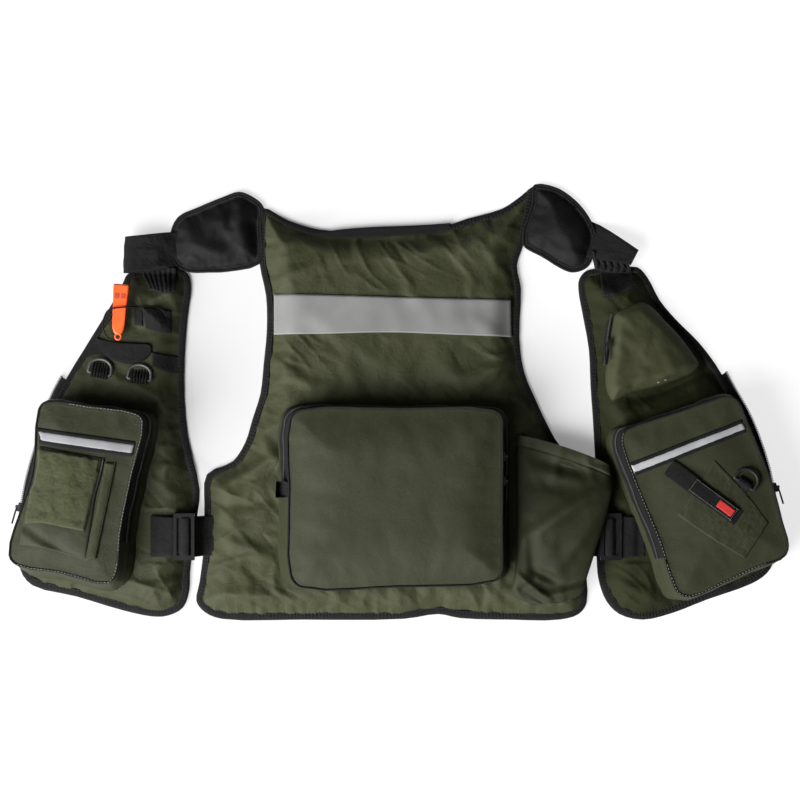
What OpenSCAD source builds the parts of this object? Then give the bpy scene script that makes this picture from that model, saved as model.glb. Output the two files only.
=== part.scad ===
// Fishing vest laid out flat, lining down and outer face up: a back panel in the
// middle and two front panels spread out beside it, joined by shoulder and side straps.
// Millimetres. +X to the wearer's right-hand front panel, +Y to the collar, +Z out of
// the cloth. The floor is z = 0.

/* [Panels] */
// Width of the edge tape that binds each panel
binding_w = 9; // [7:0.5:10]
// Height of the bound edge of a panel
edge_t = 4.2; // [3.8:0.1:5]
// Height of a panel over its flotation foam
panel_t = 19.5; // [16:0.5:22]
// Height of the foam's lower step
step_t = 12; // [9:0.5:14]
// Distance from the panel's edge to the lower foam step
step_inset = 14.5; // [13:0.5:18]
// Distance from the panel's edge to the full foam height
cap_inset = 25; // [22:1:30]
// Thickness of the shell fabric with its backing
cloth_t = 1.5; // [1:0.1:2]

/* [Pockets] */
// Height of the big zipped pockets above the floor
pocket_top = 61; // [50:1:64]
// Height of the bottle pocket above the floor
bottle_top = 46; // [38:1:47]
// Height of the upper chest pocket above the floor
chest_top = 34; // [28:1:40]
// Thickness of the piping round a pocket's face
piping_w = 3; // [2:0.25:4]
// Width of the zip band round a pocket's side
zip_w = 7; // [6:0.5:9]

/* [Straps] */
// Width of the heavy webbing
webbing_w = 50; // [45:1:52]
// Thickness of the heavy webbing
webbing_t = 2.4; // [1.8:0.1:3]
// Height of a padded shoulder
pad_t = 18; // [14:0.5:20]
// Height of the reflective tape above the cloth
tape_t = 0.8; // [0.4:0.1:1.2]

/* [Hardware] */
// Thickness of the wire of a D-ring
ring_wire = 3.4; // [3:0.1:4]
// Length of a zip puller
puller_l = 22; // [18:1:26]
// Diameter of the whistle's cord
cord_d = 1.8; // [1.5:0.1:2.5]
// Length of the whistle
whistle_l = 68; // [60:1:75]

/* [Hidden] */

// Lining and shell layers inside the bound edge.
lip_t = 0.8;
lining_t = 1;
channel_inset = 1.8;
gap = 0.3;

olive = "#464a34";
dark_olive = "#3a3e2a";
nylon = "#2b2b2c";
tape_grey = "#a4a6a8";
safety_orange = "#ff6a0f";
lining_black = "#232324";

// Corner points of the back panel, anticlockwise from the left of the collar.
back_pts = [
    [-169, 243], [-172, 222], [-172, 173], [-164, 133], [-163, 91], [-167, 48],
    [-171, 11], [-181, -21], [-190, -50], [-206, -74], [-238, -90],
    [-241, -129], [-241, -172], [-247, -224], [-251, -248], [-240, -262], [-219, -270],
    [-120, -271], [8, -270], [51, -264], [78, -269], [140, -271], [202, -271],
    [226, -264], [236, -250], [235, -200], [238, -147], [237, -84], [204, -56],
    [185, -24], [173, 2], [158, 38], [152, 81], [154, 142], [149, 171], [157, 197],
    [168, 250], [171, 270], [152, 256], [131, 242], [86, 229], [64, 222], [3, 217],
    [-59, 214], [-99, 216], [-136, 227]
];
// Corner points of the left front panel, anticlockwise from its shoulder end.
left_pts = [
    [-336, 161], [-344, 146], [-356, 124], [-384, 78], [-411, 34], [-428, 2],
    [-441, -40], [-458, -100], [-468, -165], [-471, -208], [-456, -228], [-401, -242],
    [-344, -259], [-306, -267], [-287, -266], [-268, -256], [-260, -234],
    [-259, -211], [-251, -147], [-247, -109], [-262, -44], [-267, 27], [-263, 103],
    [-258, 143], [-262, 161], [-275, 166], [-300, 165]
];
// Corner points of the right front panel, anticlockwise from its shoulder end.
right_pts = [
    [237, 165], [227, 154], [226, 140], [231, 111], [239, 66], [241, 22], [244, -21],
    [248, -100], [249, -203], [252, -225], [261, -248], [277, -264], [306, -271],
    [342, -263], [386, -246], [442, -226], [461, -213], [470.8, -194], [469, -150],
    [458, -84], [436, -22], [416, 14], [398, 46], [376, 75], [347, 104], [327, 128],
    [312, 156], [299, 169], [270, 167]
];
// Corner points of the shoulder pads.
left_pad_pts = [
    [-197, 262], [-216, 256], [-250, 242], [-273, 231], [-282, 213], [-282, 180],
    [-272, 168], [-258, 163], [-237, 163], [-212, 164], [-178, 174], [-176.5, 222],
    [-174.5, 243], [-184, 255]
];
right_pad_pts = [
    [175, 271], [196, 268], [208, 262], [227, 246], [241, 226], [248, 208],
    [244, 184], [236, 169], [219, 163], [204, 168], [180, 184], [163, 199],
    [173, 248]
];
// Corner points of the faces of the big pockets.
back_face_pts = [
    [-119, -8], [0, -6], [117, -8], [128, -18], [129, -34], [129, -110], [129, -190],
    [128, -207], [119, -218], [0, -225], [-118, -226], [-131, -212], [-133, -110],
    [-132, -20]
];
left_face_pts = [
    [-429, 2], [-375, -4], [-320, -12], [-309, -22], [-322, -85], [-337, -160],
    [-341, -204], [-352, -221], [-410, -208], [-463, -199], [-474, -186], [-460, -131],
    [-445, -85], [-438, -8]
];
right_face_pts = [
    [274, -36], [281, -31], [328, -15], [372, 0], [401, 9], [415, 2], [426, -22],
    [444, -65], [459, -104], [469, -144], [477, -174], [472, -188], [437, -202],
    [394, -222], [359, -237], [343, -234], [333, -216], [320, -175], [300, -126],
    [281, -79], [272, -50]
];
chest_pts = [
    [283, 119], [313, 119], [370, 60], [376, 47], [366, 40], [338, 30], [305, 14],
    [278, 3], [267, 10], [262, 54], [264, 106], [270, 116]
];
bottle_pts = [
    [148, -45], [194, -51], [216, -61], [230, -72], [231, -150], [227, -232],
    [217, -246], [172, -254], [146, -242], [149, -150]
];
bottle_wall = 2.5;

// Where each zip slider rests on its track, and how far the track is turned.
back_track_x = 128.6;
slider_upper_y = -66;
slider_lower_y = -96;
left_track = [-460.5, -128];
left_track_turn = -16;
right_track = [460.5, -104];
right_track_turn = 17;
chest_track = [261.5, 72];
slider_z = pocket_top - 6 - zip_w / 2;
chest_z = chest_top - 5.5;

// The pin that a puller turns on, across the slider.
pin_x = 4.8;
pin_r = 0.8;
pin_play = 0.06;

// D-rings: the middle of each straight bar.
ring_outer = [-369, 36];
ring_inner = [-320, 29];
ring_right = [421.5, -98.5];
ring_outer_turn = 169;
ring_inner_turn = 173;
ring_right_turn = 146;
ring_w = 31;
tab_t = 0.8;
ring_z = panel_t + tab_t + gap + ring_wire / 2;
ring_right_z = pocket_top + tab_t + gap + ring_wire / 2;

// Side straps: the webbing runs a little above the panel, through its adjuster.
side_y = -166;
side_z = panel_t + 1.8;
left_side_x = -243;
right_side_x = 241;
left_glide_x = -264;
right_glide_x = 264;

// Route of the whistle's cord, from its sewn end round the whistle to the ring.
cord_route = [
    [-286, 107, 22.4], [-289, 113, 22.6], [-296, 117, 22.6], [-306, 119, 22.6],
    [-316, 119, 24], [-325, 118, 28.4], [-332, 118, 33.4], [-340, 117, 34.6],
    [-349, 116, 34.4], [-356, 114, 32.6], [-361, 109, 26.4], [-364, 101, 23],
    [-364, 92, 22.6], [-361, 84, 22.8], [-356, 79, 23.4], [-349.5, 78, 25.4]
];
cord_sides = 8;
whistle_at = [-343, 112];
whistle_turn = -4;
whistle_z = 22;

// A closed smooth curve through the points, with `steps` pieces between neighbours.
function tangent(a, b, c) =
    let (
        u = sqrt(norm(b - a)),
        v = sqrt(norm(c - b))
    )
    ((b - a) / u - (c - a) / (u + v) + (c - b) / v);
function between(a, b, c, d, t) =
    let (
        v = sqrt(norm(c - b)),
        m = tangent(a, b, c) * v,
        n = tangent(b, c, d) * v
    )
    (2 * t ^ 3 - 3 * t ^ 2 + 1) * b + (t ^ 3 - 2 * t ^ 2 + t) * m
    + (3 * t ^ 2 - 2 * t ^ 3) * c + (t ^ 3 - t ^ 2) * n;
function smooth(p, steps = 3) =
    let (n = len(p))
    [
        for (i = [0:n - 1], k = [0:steps - 1])
        between(p[(i + n - 1) % n], p[i], p[(i + 1) % n], p[(i + 2) % n], k / steps)
    ];

module slab(z0, z1) {
    translate([0, 0, z0]) linear_extrude(z1 - z0) children();
}

module outline(p, inset = 0) {
    offset(delta = -inset) polygon(smooth(p));
}

module band(p, outer, inner) {
    difference() {
        outline(p, outer);
        outline(p, inner);
    }
}

// A strip of the given width between two points, with square ends.
module strip(a, b, w) {
    d = b - a;
    translate(a) rotate(atan2(d.y, d.x)) translate([0, -w / 2]) square([norm(d), w]);
}

// The four layers of a padded panel.
module panel_lining(p) {
    color(lining_black) {
        slab(0, lip_t) outline(p, binding_w + gap);
        slab(lip_t, lip_t + lining_t) outline(p, channel_inset);
    }
}

module panel_foam(p) {
    color("#d8d8d0") {
        slab(lip_t + lining_t, step_t - cloth_t) outline(p, step_inset + cloth_t);
        slab(step_t - cloth_t, panel_t - cloth_t) outline(p, cap_inset + cloth_t);
    }
}

module panel_shell(p) {
    color(olive) difference() {
        union() {
            slab(lip_t + lining_t, edge_t - lip_t) outline(p, channel_inset);
            slab(edge_t - lip_t, step_t) outline(p, step_inset);
            slab(step_t, panel_t) outline(p, cap_inset);
        }
        slab(0, step_t - cloth_t) outline(p, step_inset + cloth_t);
        slab(step_t - cloth_t - 1, panel_t - cloth_t) outline(p, cap_inset + cloth_t);
    }
}

module panel_binding(p) {
    color(nylon) difference() {
        slab(0, edge_t) band(p, 0, binding_w);
        slab(lip_t, edge_t - lip_t) band(p, channel_inset, binding_w + 1);
    }
}

// A zipped pocket: gusset block, face, piping and zip band.
module pocket_body(p) {
    color(olive) slab(panel_t, pocket_top - 3) outline(p, piping_w);
}

module pocket_face(p) {
    color(olive) slab(pocket_top - 3, pocket_top) outline(p, piping_w);
}

module pocket_piping(p) {
    color(nylon) slab(pocket_top - 4, pocket_top - 0.4) band(p, 0, piping_w);
}

module zip_band(p) {
    slab(pocket_top - 6 - zip_w, pocket_top - 6) band(p, piping_w - 1.6, piping_w);
}

// A zip slider on a side wall that faces +X, its middle at the origin, with a cross pin.
module slider_shape() {
    color("#3c3c3e") {
        translate([0, -5.5, -3.5]) cube([3.2, 11, 7]);
        for (z = [-3.3, 2.3]) translate([3.2, -1.4, z]) cube([3, 2.8, 1]);
        translate([pin_x, 0, -2.3]) cylinder(h = 4.6, r = pin_r, $fn = 32);
    }
}

// Its puller, which turns on the pin and rests towards -Y.
module puller_shape() {
    color("#2e2e30") difference() {
        union() {
            translate([pin_x, 0, -2]) cylinder(h = 4, r = 1.5, $fn = 32);
            hull() {
                translate([pin_x - 0.6, -puller_l, -2.8]) cube([1.2, 12, 5.6]);
                translate([pin_x - 0.6, -3.4, -2]) cube([1.2, 3.4, 4]);
            }
        }
        translate([pin_x, 0, -4]) cylinder(h = 8, r = pin_r + pin_play, $fn = 32);
    }
}

// Puts a slider or puller on its track; a flipped one is on a wall that faces -X.
module on_track(at, z, turn = 0, flip = false) {
    translate([at.x, at.y, z]) rotate([0, 0, turn])
        mirror([flip ? 1 : 0, 0, 0]) children();
}

// A flat D-ring with its bar along X at the origin and its bow towards -Y.
module d_ring_shape(w) {
    r = w / 2 - ring_wire / 2;
    color("#2a2a2c") {
        rotate([0, 90, 0]) cylinder(h = 2 * r, d = ring_wire, center = true, $fn = 24);
        for (side = [-1, 1]) translate([side * r, 0, 0]) {
            sphere(d = ring_wire, $fn = 24);
            rotate([90, 0, 0]) cylinder(h = r * 0.3, d = ring_wire, $fn = 24);
        }
        translate([0, -r * 0.3, 0]) rotate([0, 0, 180]) rotate_extrude(angle = 180, $fn = 48)
            translate([r, 0]) circle(d = ring_wire, $fn = 24);
    }
}

// A ladder-lock adjuster: a frame round the flat webbing, with two slots in its top.
module tri_glide_shape() {
    l = webbing_w + 8;
    room = webbing_t + 0.8;
    color("#2a2a2c") difference() {
        translate([-13, -l / 2, -1.2]) cube([26, l, room + 3.2]);
        translate([-20, -webbing_w / 2 - 0.6, 0]) cube([40, webbing_w + 1.2, room]);
        for (x = [-9, 3]) translate([x, 2 - webbing_w / 2, room - 1])
            cube([6, webbing_w - 4, 20]);
    }
}

module back_lining() { panel_lining(back_pts); }
module back_foam() { panel_foam(back_pts); }
module back_shell() { panel_shell(back_pts); }
module back_binding() { panel_binding(back_pts); }
module left_lining() { panel_lining(left_pts); }
module left_foam() { panel_foam(left_pts); }
module left_shell() { panel_shell(left_pts); }
module left_binding() { panel_binding(left_pts); }
module right_lining() { panel_lining(right_pts); }
module right_foam() { panel_foam(right_pts); }
module right_shell() { panel_shell(right_pts); }
module right_binding() { panel_binding(right_pts); }

module neck_facing() {
    color(nylon) slab(0.4, 3.4) difference() {
        polygon(smooth([
            [-96, 216], [-99, 221], [-60, 222], [0, 225], [60, 229], [84, 235], [86, 230],
            [60, 215], [0, 208], [-60, 206]
        ]));
        outline(back_pts, -gap);
    }
}

module reflective_band() {
    color(tape_grey) slab(panel_t, panel_t + tape_t)
        polygon([
            [-153, 135], [-100, 134], [141, 128], [143, 81], [60, 84], [-10, 87], [-154, 84]
        ]);
}

module back_pocket_body() { pocket_body(back_face_pts); }
module back_pocket_face() { pocket_face(back_face_pts); }
module back_pocket_piping() { pocket_piping(back_face_pts); }

module back_pocket_zip() {
    color(nylon) {
        difference() {
            zip_band(back_face_pts);
            slab(0, 100) translate([-110, -300]) square([220, 260]);
        }
        slab(pocket_top - 24, pocket_top - 5) strip([-133.4, -119], [-133.4, -101], 5);
    }
}

module back_pocket_slider_upper() {
    on_track([back_track_x, slider_upper_y], slider_z) slider_shape();
}

module back_pocket_slider_lower() {
    on_track([back_track_x, slider_lower_y], slider_z) slider_shape();
}

module back_pocket_puller_upper() {
    on_track([back_track_x, slider_upper_y], slider_z) puller_shape();
}

module back_pocket_puller_lower() {
    on_track([back_track_x, slider_lower_y], slider_z) puller_shape();
}

module bottle_pocket() {
    color(dark_olive) difference() {
        slab(panel_t, bottle_top) outline(bottle_pts);
        slab(panel_t + 2, bottle_top - bottle_wall) intersection() {
            union() {
                outline(bottle_pts, bottle_wall);
                translate([151.6, -120]) square([77, 100]);
            }
            translate([140, -300]) square([88.6, 300]);
        }
    }
}

module bottle_pocket_hem() {
    color(olive) slab(bottle_top, bottle_top + 1.2)
        polygon([
            [149, -46], [194, -52], [216, -62], [229, -73], [230, -87], [212, -76],
            [192, -66], [149, -60]
        ]);
}

module pad(p) {
    color(nylon) {
        slab(0.4, pad_t - 5) outline(p);
        slab(pad_t - 5, pad_t) outline(p, 9);
    }
}

module left_shoulder_pad() { pad(left_pad_pts); }
module right_shoulder_pad() { pad(right_pad_pts); }

// The short webbing ends sewn to the sides of the back panel.
module side_strap_ends() {
    color(nylon) for (x = [left_side_x + 3, right_side_x - 16])
        slab(edge_t, edge_t + webbing_t)
            translate([x, side_y - webbing_w / 2]) square([11, webbing_w]);
}

// A strap between x0 and x1, sewn down over a block between b0 and b1.
module side_strap(x0, x1, b0, b1, y) {
    color(nylon) {
        slab(side_z, side_z + webbing_t)
            translate([x0, y - webbing_w / 2]) square([x1 - x0, webbing_w]);
        slab(panel_t, side_z)
            translate([b0, y - webbing_w / 2]) square([b1 - b0, webbing_w]);
    }
}

module left_side_strap() { side_strap(-306, -250, -306, -292, side_y); }
module right_side_strap() { side_strap(251, 300, 286, 300, side_y); }

module left_tri_glide() {
    translate([left_glide_x, side_y, side_z - gap]) tri_glide_shape();
}

module right_tri_glide() {
    translate([right_glide_x, side_y, side_z - gap]) tri_glide_shape();
}

// Half of the front zip: a strip outside a panel's edge, kept where it crosses a box
// that runs from x for front_reach, between two heights up the panel.
front_zip_w = 8;
front_reach = 120;
module front_zip(p, x, y_bottom, y_top) {
    color(nylon) slab(lip_t, lip_t + webbing_t) intersection() {
        difference() {
            outline(p, -front_zip_w);
            outline(p, -gap);
        }
        translate([x, y_bottom]) square([front_reach, y_top - y_bottom]);
    }
}

module left_front_zip() { front_zip(left_pts, -500, -190, 30); }
module right_front_zip() { front_zip(right_pts, 380, -180, 36); }

module left_shoulder_strap() {
    color(nylon) slab(panel_t, panel_t + webbing_t)
        polygon([
            [-340, 206], [-287, 217], [-286, 168], [-276, 160], [-279, 140], [-314, 138],
            [-317, 160], [-338, 170]
        ]);
}

module right_shoulder_strap() {
    color(nylon) slab(panel_t, panel_t + webbing_t)
        polygon([
            [250, 218], [294, 190], [304, 182], [299, 168], [301, 144], [256, 129],
            [250, 170], [251, 190]
        ]);
}

// A loop of tape that holds a D-ring's bar: under it, behind it and over it.
module ring_tab(at, turn, base, top) {
    translate([at.x, at.y, 0]) rotate([0, 0, turn]) {
        slab(base, base + tab_t) translate([-9, -5]) square([18, 12]);
        slab(base, top + tab_t) translate([-9, ring_wire / 2 + gap]) square([18, 2]);
        slab(top, top + tab_t) translate([-9, -5]) square([18, 12]);
    }
}

// Webbing sewn across the left chest: two patches, and the low band with its ring tabs.
module left_utility_webbing() {
    color(nylon) {
        slab(panel_t, panel_t + 1.6) strip([-330, 113], [-318, 107], 24);
        slab(panel_t, panel_t + 1.6) strip([-316, 104], [-284, 101], 22);
        slab(panel_t, panel_t + 1.6) difference() {
            polygon(smooth([
                [-376, 82], [-346, 76], [-328, 74], [-308, 73], [-302, 65], [-277, 58],
                [-277, 38], [-291, 40], [-302, 47], [-312, 52], [-329, 48], [-350, 51],
                [-362, 58], [-376, 62], [-388, 58]
            ]));
            for (c = [ring_outer, ring_inner])
                translate([c.x, c.y + 8]) square([ring_w + 6, 34], center = true);
        }
        ring_tab(ring_outer, ring_outer_turn, panel_t, ring_z + ring_wire / 2 + gap);
        ring_tab(ring_inner, ring_inner_turn, panel_t, ring_z + ring_wire / 2 + gap);
    }
}

module d_ring_outer() {
    translate([ring_outer.x, ring_outer.y, ring_z]) rotate([0, 0, ring_outer_turn])
        d_ring_shape(ring_w);
}

module d_ring_inner() {
    translate([ring_inner.x, ring_inner.y, ring_z]) rotate([0, 0, ring_inner_turn])
        d_ring_shape(ring_w);
}

module d_ring_right() {
    translate([ring_right.x, ring_right.y, ring_right_z])
        rotate([0, 0, ring_right_turn]) d_ring_shape(ring_w);
}

// A flat pea-less whistle: tapered body with a mouthpiece slot, two windows and a ring.
module whistle() {
    translate([whistle_at.x, whistle_at.y, whistle_z]) rotate([0, 0, whistle_turn])
    color(safety_orange) {
        difference() {
            hull() {
                translate([-9.5, whistle_l / 2 - 8, 0]) cube([19, 8, 10]);
                translate([0, -whistle_l / 2 + 14, 0]) cylinder(h = 10, r = 7.6, $fn = 32);
            }
            for (x = [-6.4, 1.4]) translate([x, whistle_l / 2 - 17, 6]) cube([5, 3, 8]);
            translate([-6.5, whistle_l / 2 - 12, 3.6]) cube([13, 20, 2.8]);
        }
        translate([0, -whistle_l / 2 + 4.2, 3.2]) difference() {
            cylinder(h = 3.6, r = 4.2, $fn = 32);
            translate([0, 0, -1]) cylinder(h = 6, r = 2.4, $fn = 32);
        }
    }
}

// A round tube swept along the points of a route.
function along(p, i) =
    let (d = p[min(i + 1, len(p) - 1)] - p[max(i - 1, 0)])
    d / norm(d);
function ring_of(c, d, r, n) =
    let (
        side = cross([0, 0, 1], d) / norm(cross([0, 0, 1], d)),
        up = cross(d, side)
    )
    [for (k = [0:n - 1]) c + r * (cos(360 * k / n) * side + sin(360 * k / n) * up)];
module tube(p, r, n) {
    rings = len(p);
    points = [for (i = [0:rings - 1]) each ring_of(p[i], along(p, i), r, n)];
    sides = [
        for (i = [0:rings - 2], k = [0:n - 1])
        [i * n + k, i * n + (k + 1) % n, (i + 1) * n + (k + 1) % n, (i + 1) * n + k]
    ];
    first = [for (k = [0:n - 1]) k];
    last = [for (k = [n - 1:-1:0]) (rings - 1) * n + k];
    polyhedron(points, concat([for (f = sides) [f[3], f[2], f[1], f[0]]], [first, last]));
}

module whistle_cord() {
    color("#1c1c1c") tube(cord_route, cord_d / 2, cord_sides);
}

module left_pocket_body() { pocket_body(left_face_pts); }
module left_pocket_face() { pocket_face(left_face_pts); }
module left_pocket_piping() { pocket_piping(left_face_pts); }

module left_pocket_zip() {
    color(nylon) {
        difference() {
            zip_band(left_face_pts);
            slab(0, 100) translate([-456, -300]) square([100, 250]);
            slab(0, 100) translate([-490, -300]) square([200, 130]);
        }
        slab(pocket_top - 24, pocket_top - 5) strip([-331.5, -178], [-328, -160], 5);
    }
}

module left_pocket_slider() {
    on_track(left_track, slider_z, left_track_turn, true) slider_shape();
}

module left_pocket_puller() {
    on_track(left_track, slider_z, left_track_turn, true) puller_shape();
}

module right_pocket_slider() {
    on_track(right_track, slider_z, right_track_turn) slider_shape();
}

module right_pocket_puller() {
    on_track(right_track, slider_z, right_track_turn) puller_shape();
}

module left_reflective_strip() {
    color(tape_grey) slab(pocket_top, pocket_top + tape_t)
        polygon([[-438, -35], [-313, -52], [-315, -63], [-440, -46]]);
    color(nylon) slab(pocket_top, pocket_top + tape_t) {
        polygon([[-437, -32], [-312, -49], [-313, -52], [-438, -35]]);
        polygon([[-440, -46], [-315, -63], [-316, -66], [-441, -49]]);
    }
}

// Flat pocket sewn to the face, and beside it the narrow tape of tool loops.
module patch_pocket() {
    color(olive) {
        slab(pocket_top, pocket_top + 2)
            polygon([[-441, -52], [-359, -68], [-381, -193], [-461, -172]]);
        slab(pocket_top, pocket_top + 2)
            polygon([[-356, -72], [-342, -74], [-365, -190], [-379, -191]]);
    }
}

module patch_pocket_flap() {
    color(dark_olive) slab(pocket_top + 2 + gap, pocket_top + 4.5)
        polygon([[-438, -49], [-357, -65], [-380, -155], [-453, -147]]);
}

module chest_pocket() {
    color(olive) slab(panel_t, chest_top) outline(chest_pts, 2);
    color(nylon) slab(chest_top - 9, chest_top - 2) intersection() {
        band(chest_pts, 0.6, 2);
        translate([250, 44]) square([20, 66]);
    }
}

module chest_pocket_slider() {
    on_track(chest_track, chest_z, 0, true) slider_shape();
}

module chest_pocket_puller() {
    on_track(chest_track, chest_z, 0, true) puller_shape();
}

module right_pocket_body() { pocket_body(right_face_pts); }
module right_pocket_face() { pocket_face(right_face_pts); }
module right_pocket_piping() { pocket_piping(right_face_pts); }

// Zip band, reflective strip, loop patch and the tab that holds the D-ring.
module right_pocket_fittings() {
    color(nylon) difference() {
        zip_band(right_face_pts);
        slab(0, 100) translate([360, -300]) square([90, 260]);
        slab(0, 100) translate([310, -300]) square([200, 150]);
    }
    color(tape_grey) slab(pocket_top, pocket_top + tape_t)
        polygon([[285, -76], [420, -24], [424, -33], [289, -86]]);
    color(dark_olive) slab(pocket_top, pocket_top + 1.6)
        polygon([[386, -70], [341, -137], [422, -190], [452, -145]]);
    color(nylon) ring_tab(ring_right, ring_right_turn, pocket_top,
                          ring_right_z + ring_wire / 2 + gap);
}

// The ends of the middle line of the rod strap.
rod_strap_top = [328, -77];
rod_strap_end = [414, -140];
rod_strap_w = 21;
module rod_strap() {
    color(nylon) slab(pocket_top + 1.6 + gap, pocket_top + 4.4)
        strip(rod_strap_top, rod_strap_end, rod_strap_w);
}

back_lining();
back_foam();
back_shell();
back_binding();
neck_facing();
reflective_band();
back_pocket_body();
back_pocket_face();
back_pocket_piping();
back_pocket_zip();
back_pocket_slider_upper();
back_pocket_slider_lower();
back_pocket_puller_upper();
back_pocket_puller_lower();
bottle_pocket();
bottle_pocket_hem();
left_shoulder_pad();
right_shoulder_pad();
side_strap_ends();
left_lining();
left_foam();
left_shell();
left_binding();
left_front_zip();
left_shoulder_strap();
left_utility_webbing();
left_side_strap();
left_tri_glide();
whistle();
whistle_cord();
d_ring_outer();
d_ring_inner();
left_pocket_body();
left_pocket_face();
left_pocket_piping();
left_pocket_zip();
left_pocket_slider();
left_pocket_puller();
left_reflective_strip();
patch_pocket();
patch_pocket_flap();
right_lining();
right_foam();
right_shell();
right_binding();
right_front_zip();
right_shoulder_strap();
right_side_strap();
right_tri_glide();
chest_pocket();
chest_pocket_slider();
chest_pocket_puller();
right_pocket_body();
right_pocket_face();
right_pocket_piping();
right_pocket_fittings();
rod_strap();
d_ring_right();
right_pocket_slider();
right_pocket_puller();
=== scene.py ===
"""Looks of the fishing vest: cloth, webbing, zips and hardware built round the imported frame."""

import math

import bmesh
import bpy
import numpy as np
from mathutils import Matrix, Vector
from mathutils.bvhtree import BVHTree
from mathutils.geometry import delaunay_2d_cdt


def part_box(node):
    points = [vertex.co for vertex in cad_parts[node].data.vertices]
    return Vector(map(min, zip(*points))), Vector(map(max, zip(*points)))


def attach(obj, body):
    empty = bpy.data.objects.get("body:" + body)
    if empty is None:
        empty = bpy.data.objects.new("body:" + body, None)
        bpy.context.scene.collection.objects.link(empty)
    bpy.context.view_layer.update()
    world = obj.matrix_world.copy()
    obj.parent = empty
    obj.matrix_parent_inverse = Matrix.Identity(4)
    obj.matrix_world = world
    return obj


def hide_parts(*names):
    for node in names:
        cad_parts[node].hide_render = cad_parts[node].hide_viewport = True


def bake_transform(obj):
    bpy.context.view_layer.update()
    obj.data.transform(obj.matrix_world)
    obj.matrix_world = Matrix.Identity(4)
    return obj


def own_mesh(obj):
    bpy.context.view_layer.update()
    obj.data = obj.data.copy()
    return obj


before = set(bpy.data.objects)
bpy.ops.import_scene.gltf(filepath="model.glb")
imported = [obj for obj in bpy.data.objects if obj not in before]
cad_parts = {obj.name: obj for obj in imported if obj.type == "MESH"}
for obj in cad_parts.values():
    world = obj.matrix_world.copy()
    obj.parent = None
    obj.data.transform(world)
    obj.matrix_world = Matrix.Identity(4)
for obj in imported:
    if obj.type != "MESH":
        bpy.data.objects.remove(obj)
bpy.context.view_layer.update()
scene = bpy.context.scene

MM = 0.001
PANEL_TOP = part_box("back_shell")[1][2]
POCKET_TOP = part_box("back_pocket_face")[1][2]
EDGE_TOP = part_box("back_binding")[1][2]
BINDING_W = 9.0 * MM
FLOOR_GAP = 0.2 * MM


# ---------------------------------------------------------------- camera and cord

def make_camera():
    """Straight above the middle of the vest, collar at the top."""
    cam = bpy.data.cameras.new("camera")
    cam.lens = 85
    cam.sensor_width = 36
    cam.clip_end = 60
    obj = bpy.data.objects.new("camera", cam)
    obj.location = (3.1 * MM, 3.1 * MM, 2.36)
    scene.collection.objects.link(obj)
    scene.camera = obj


make_camera()

# Route of the whistle's cord in millimetres, from its sewn end round the whistle.
CORD_ROUTE = [
    (-286, 107, 22.4), (-289, 113, 22.6), (-296, 117, 22.6), (-306, 119, 22.6),
    (-316, 119, 24), (-325, 118, 28.4), (-332, 118, 33.4), (-340, 117, 34.6),
    (-349, 116, 34.4), (-356, 114, 32.6), (-361, 109, 26.4), (-364, 101, 23),
    (-364, 92, 22.6), (-361, 84, 22.8), (-356, 79, 23.4), (-349.5, 78, 25.4),
]
CORD_D = 1.8 * MM


# ---------------------------------------------------------------- materials

def node_of(tree, kind, **inputs):
    node = tree.nodes.new(kind)
    for name, value in inputs.items():
        node.inputs[name.replace("_", " ")].default_value = value
    return node


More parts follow.
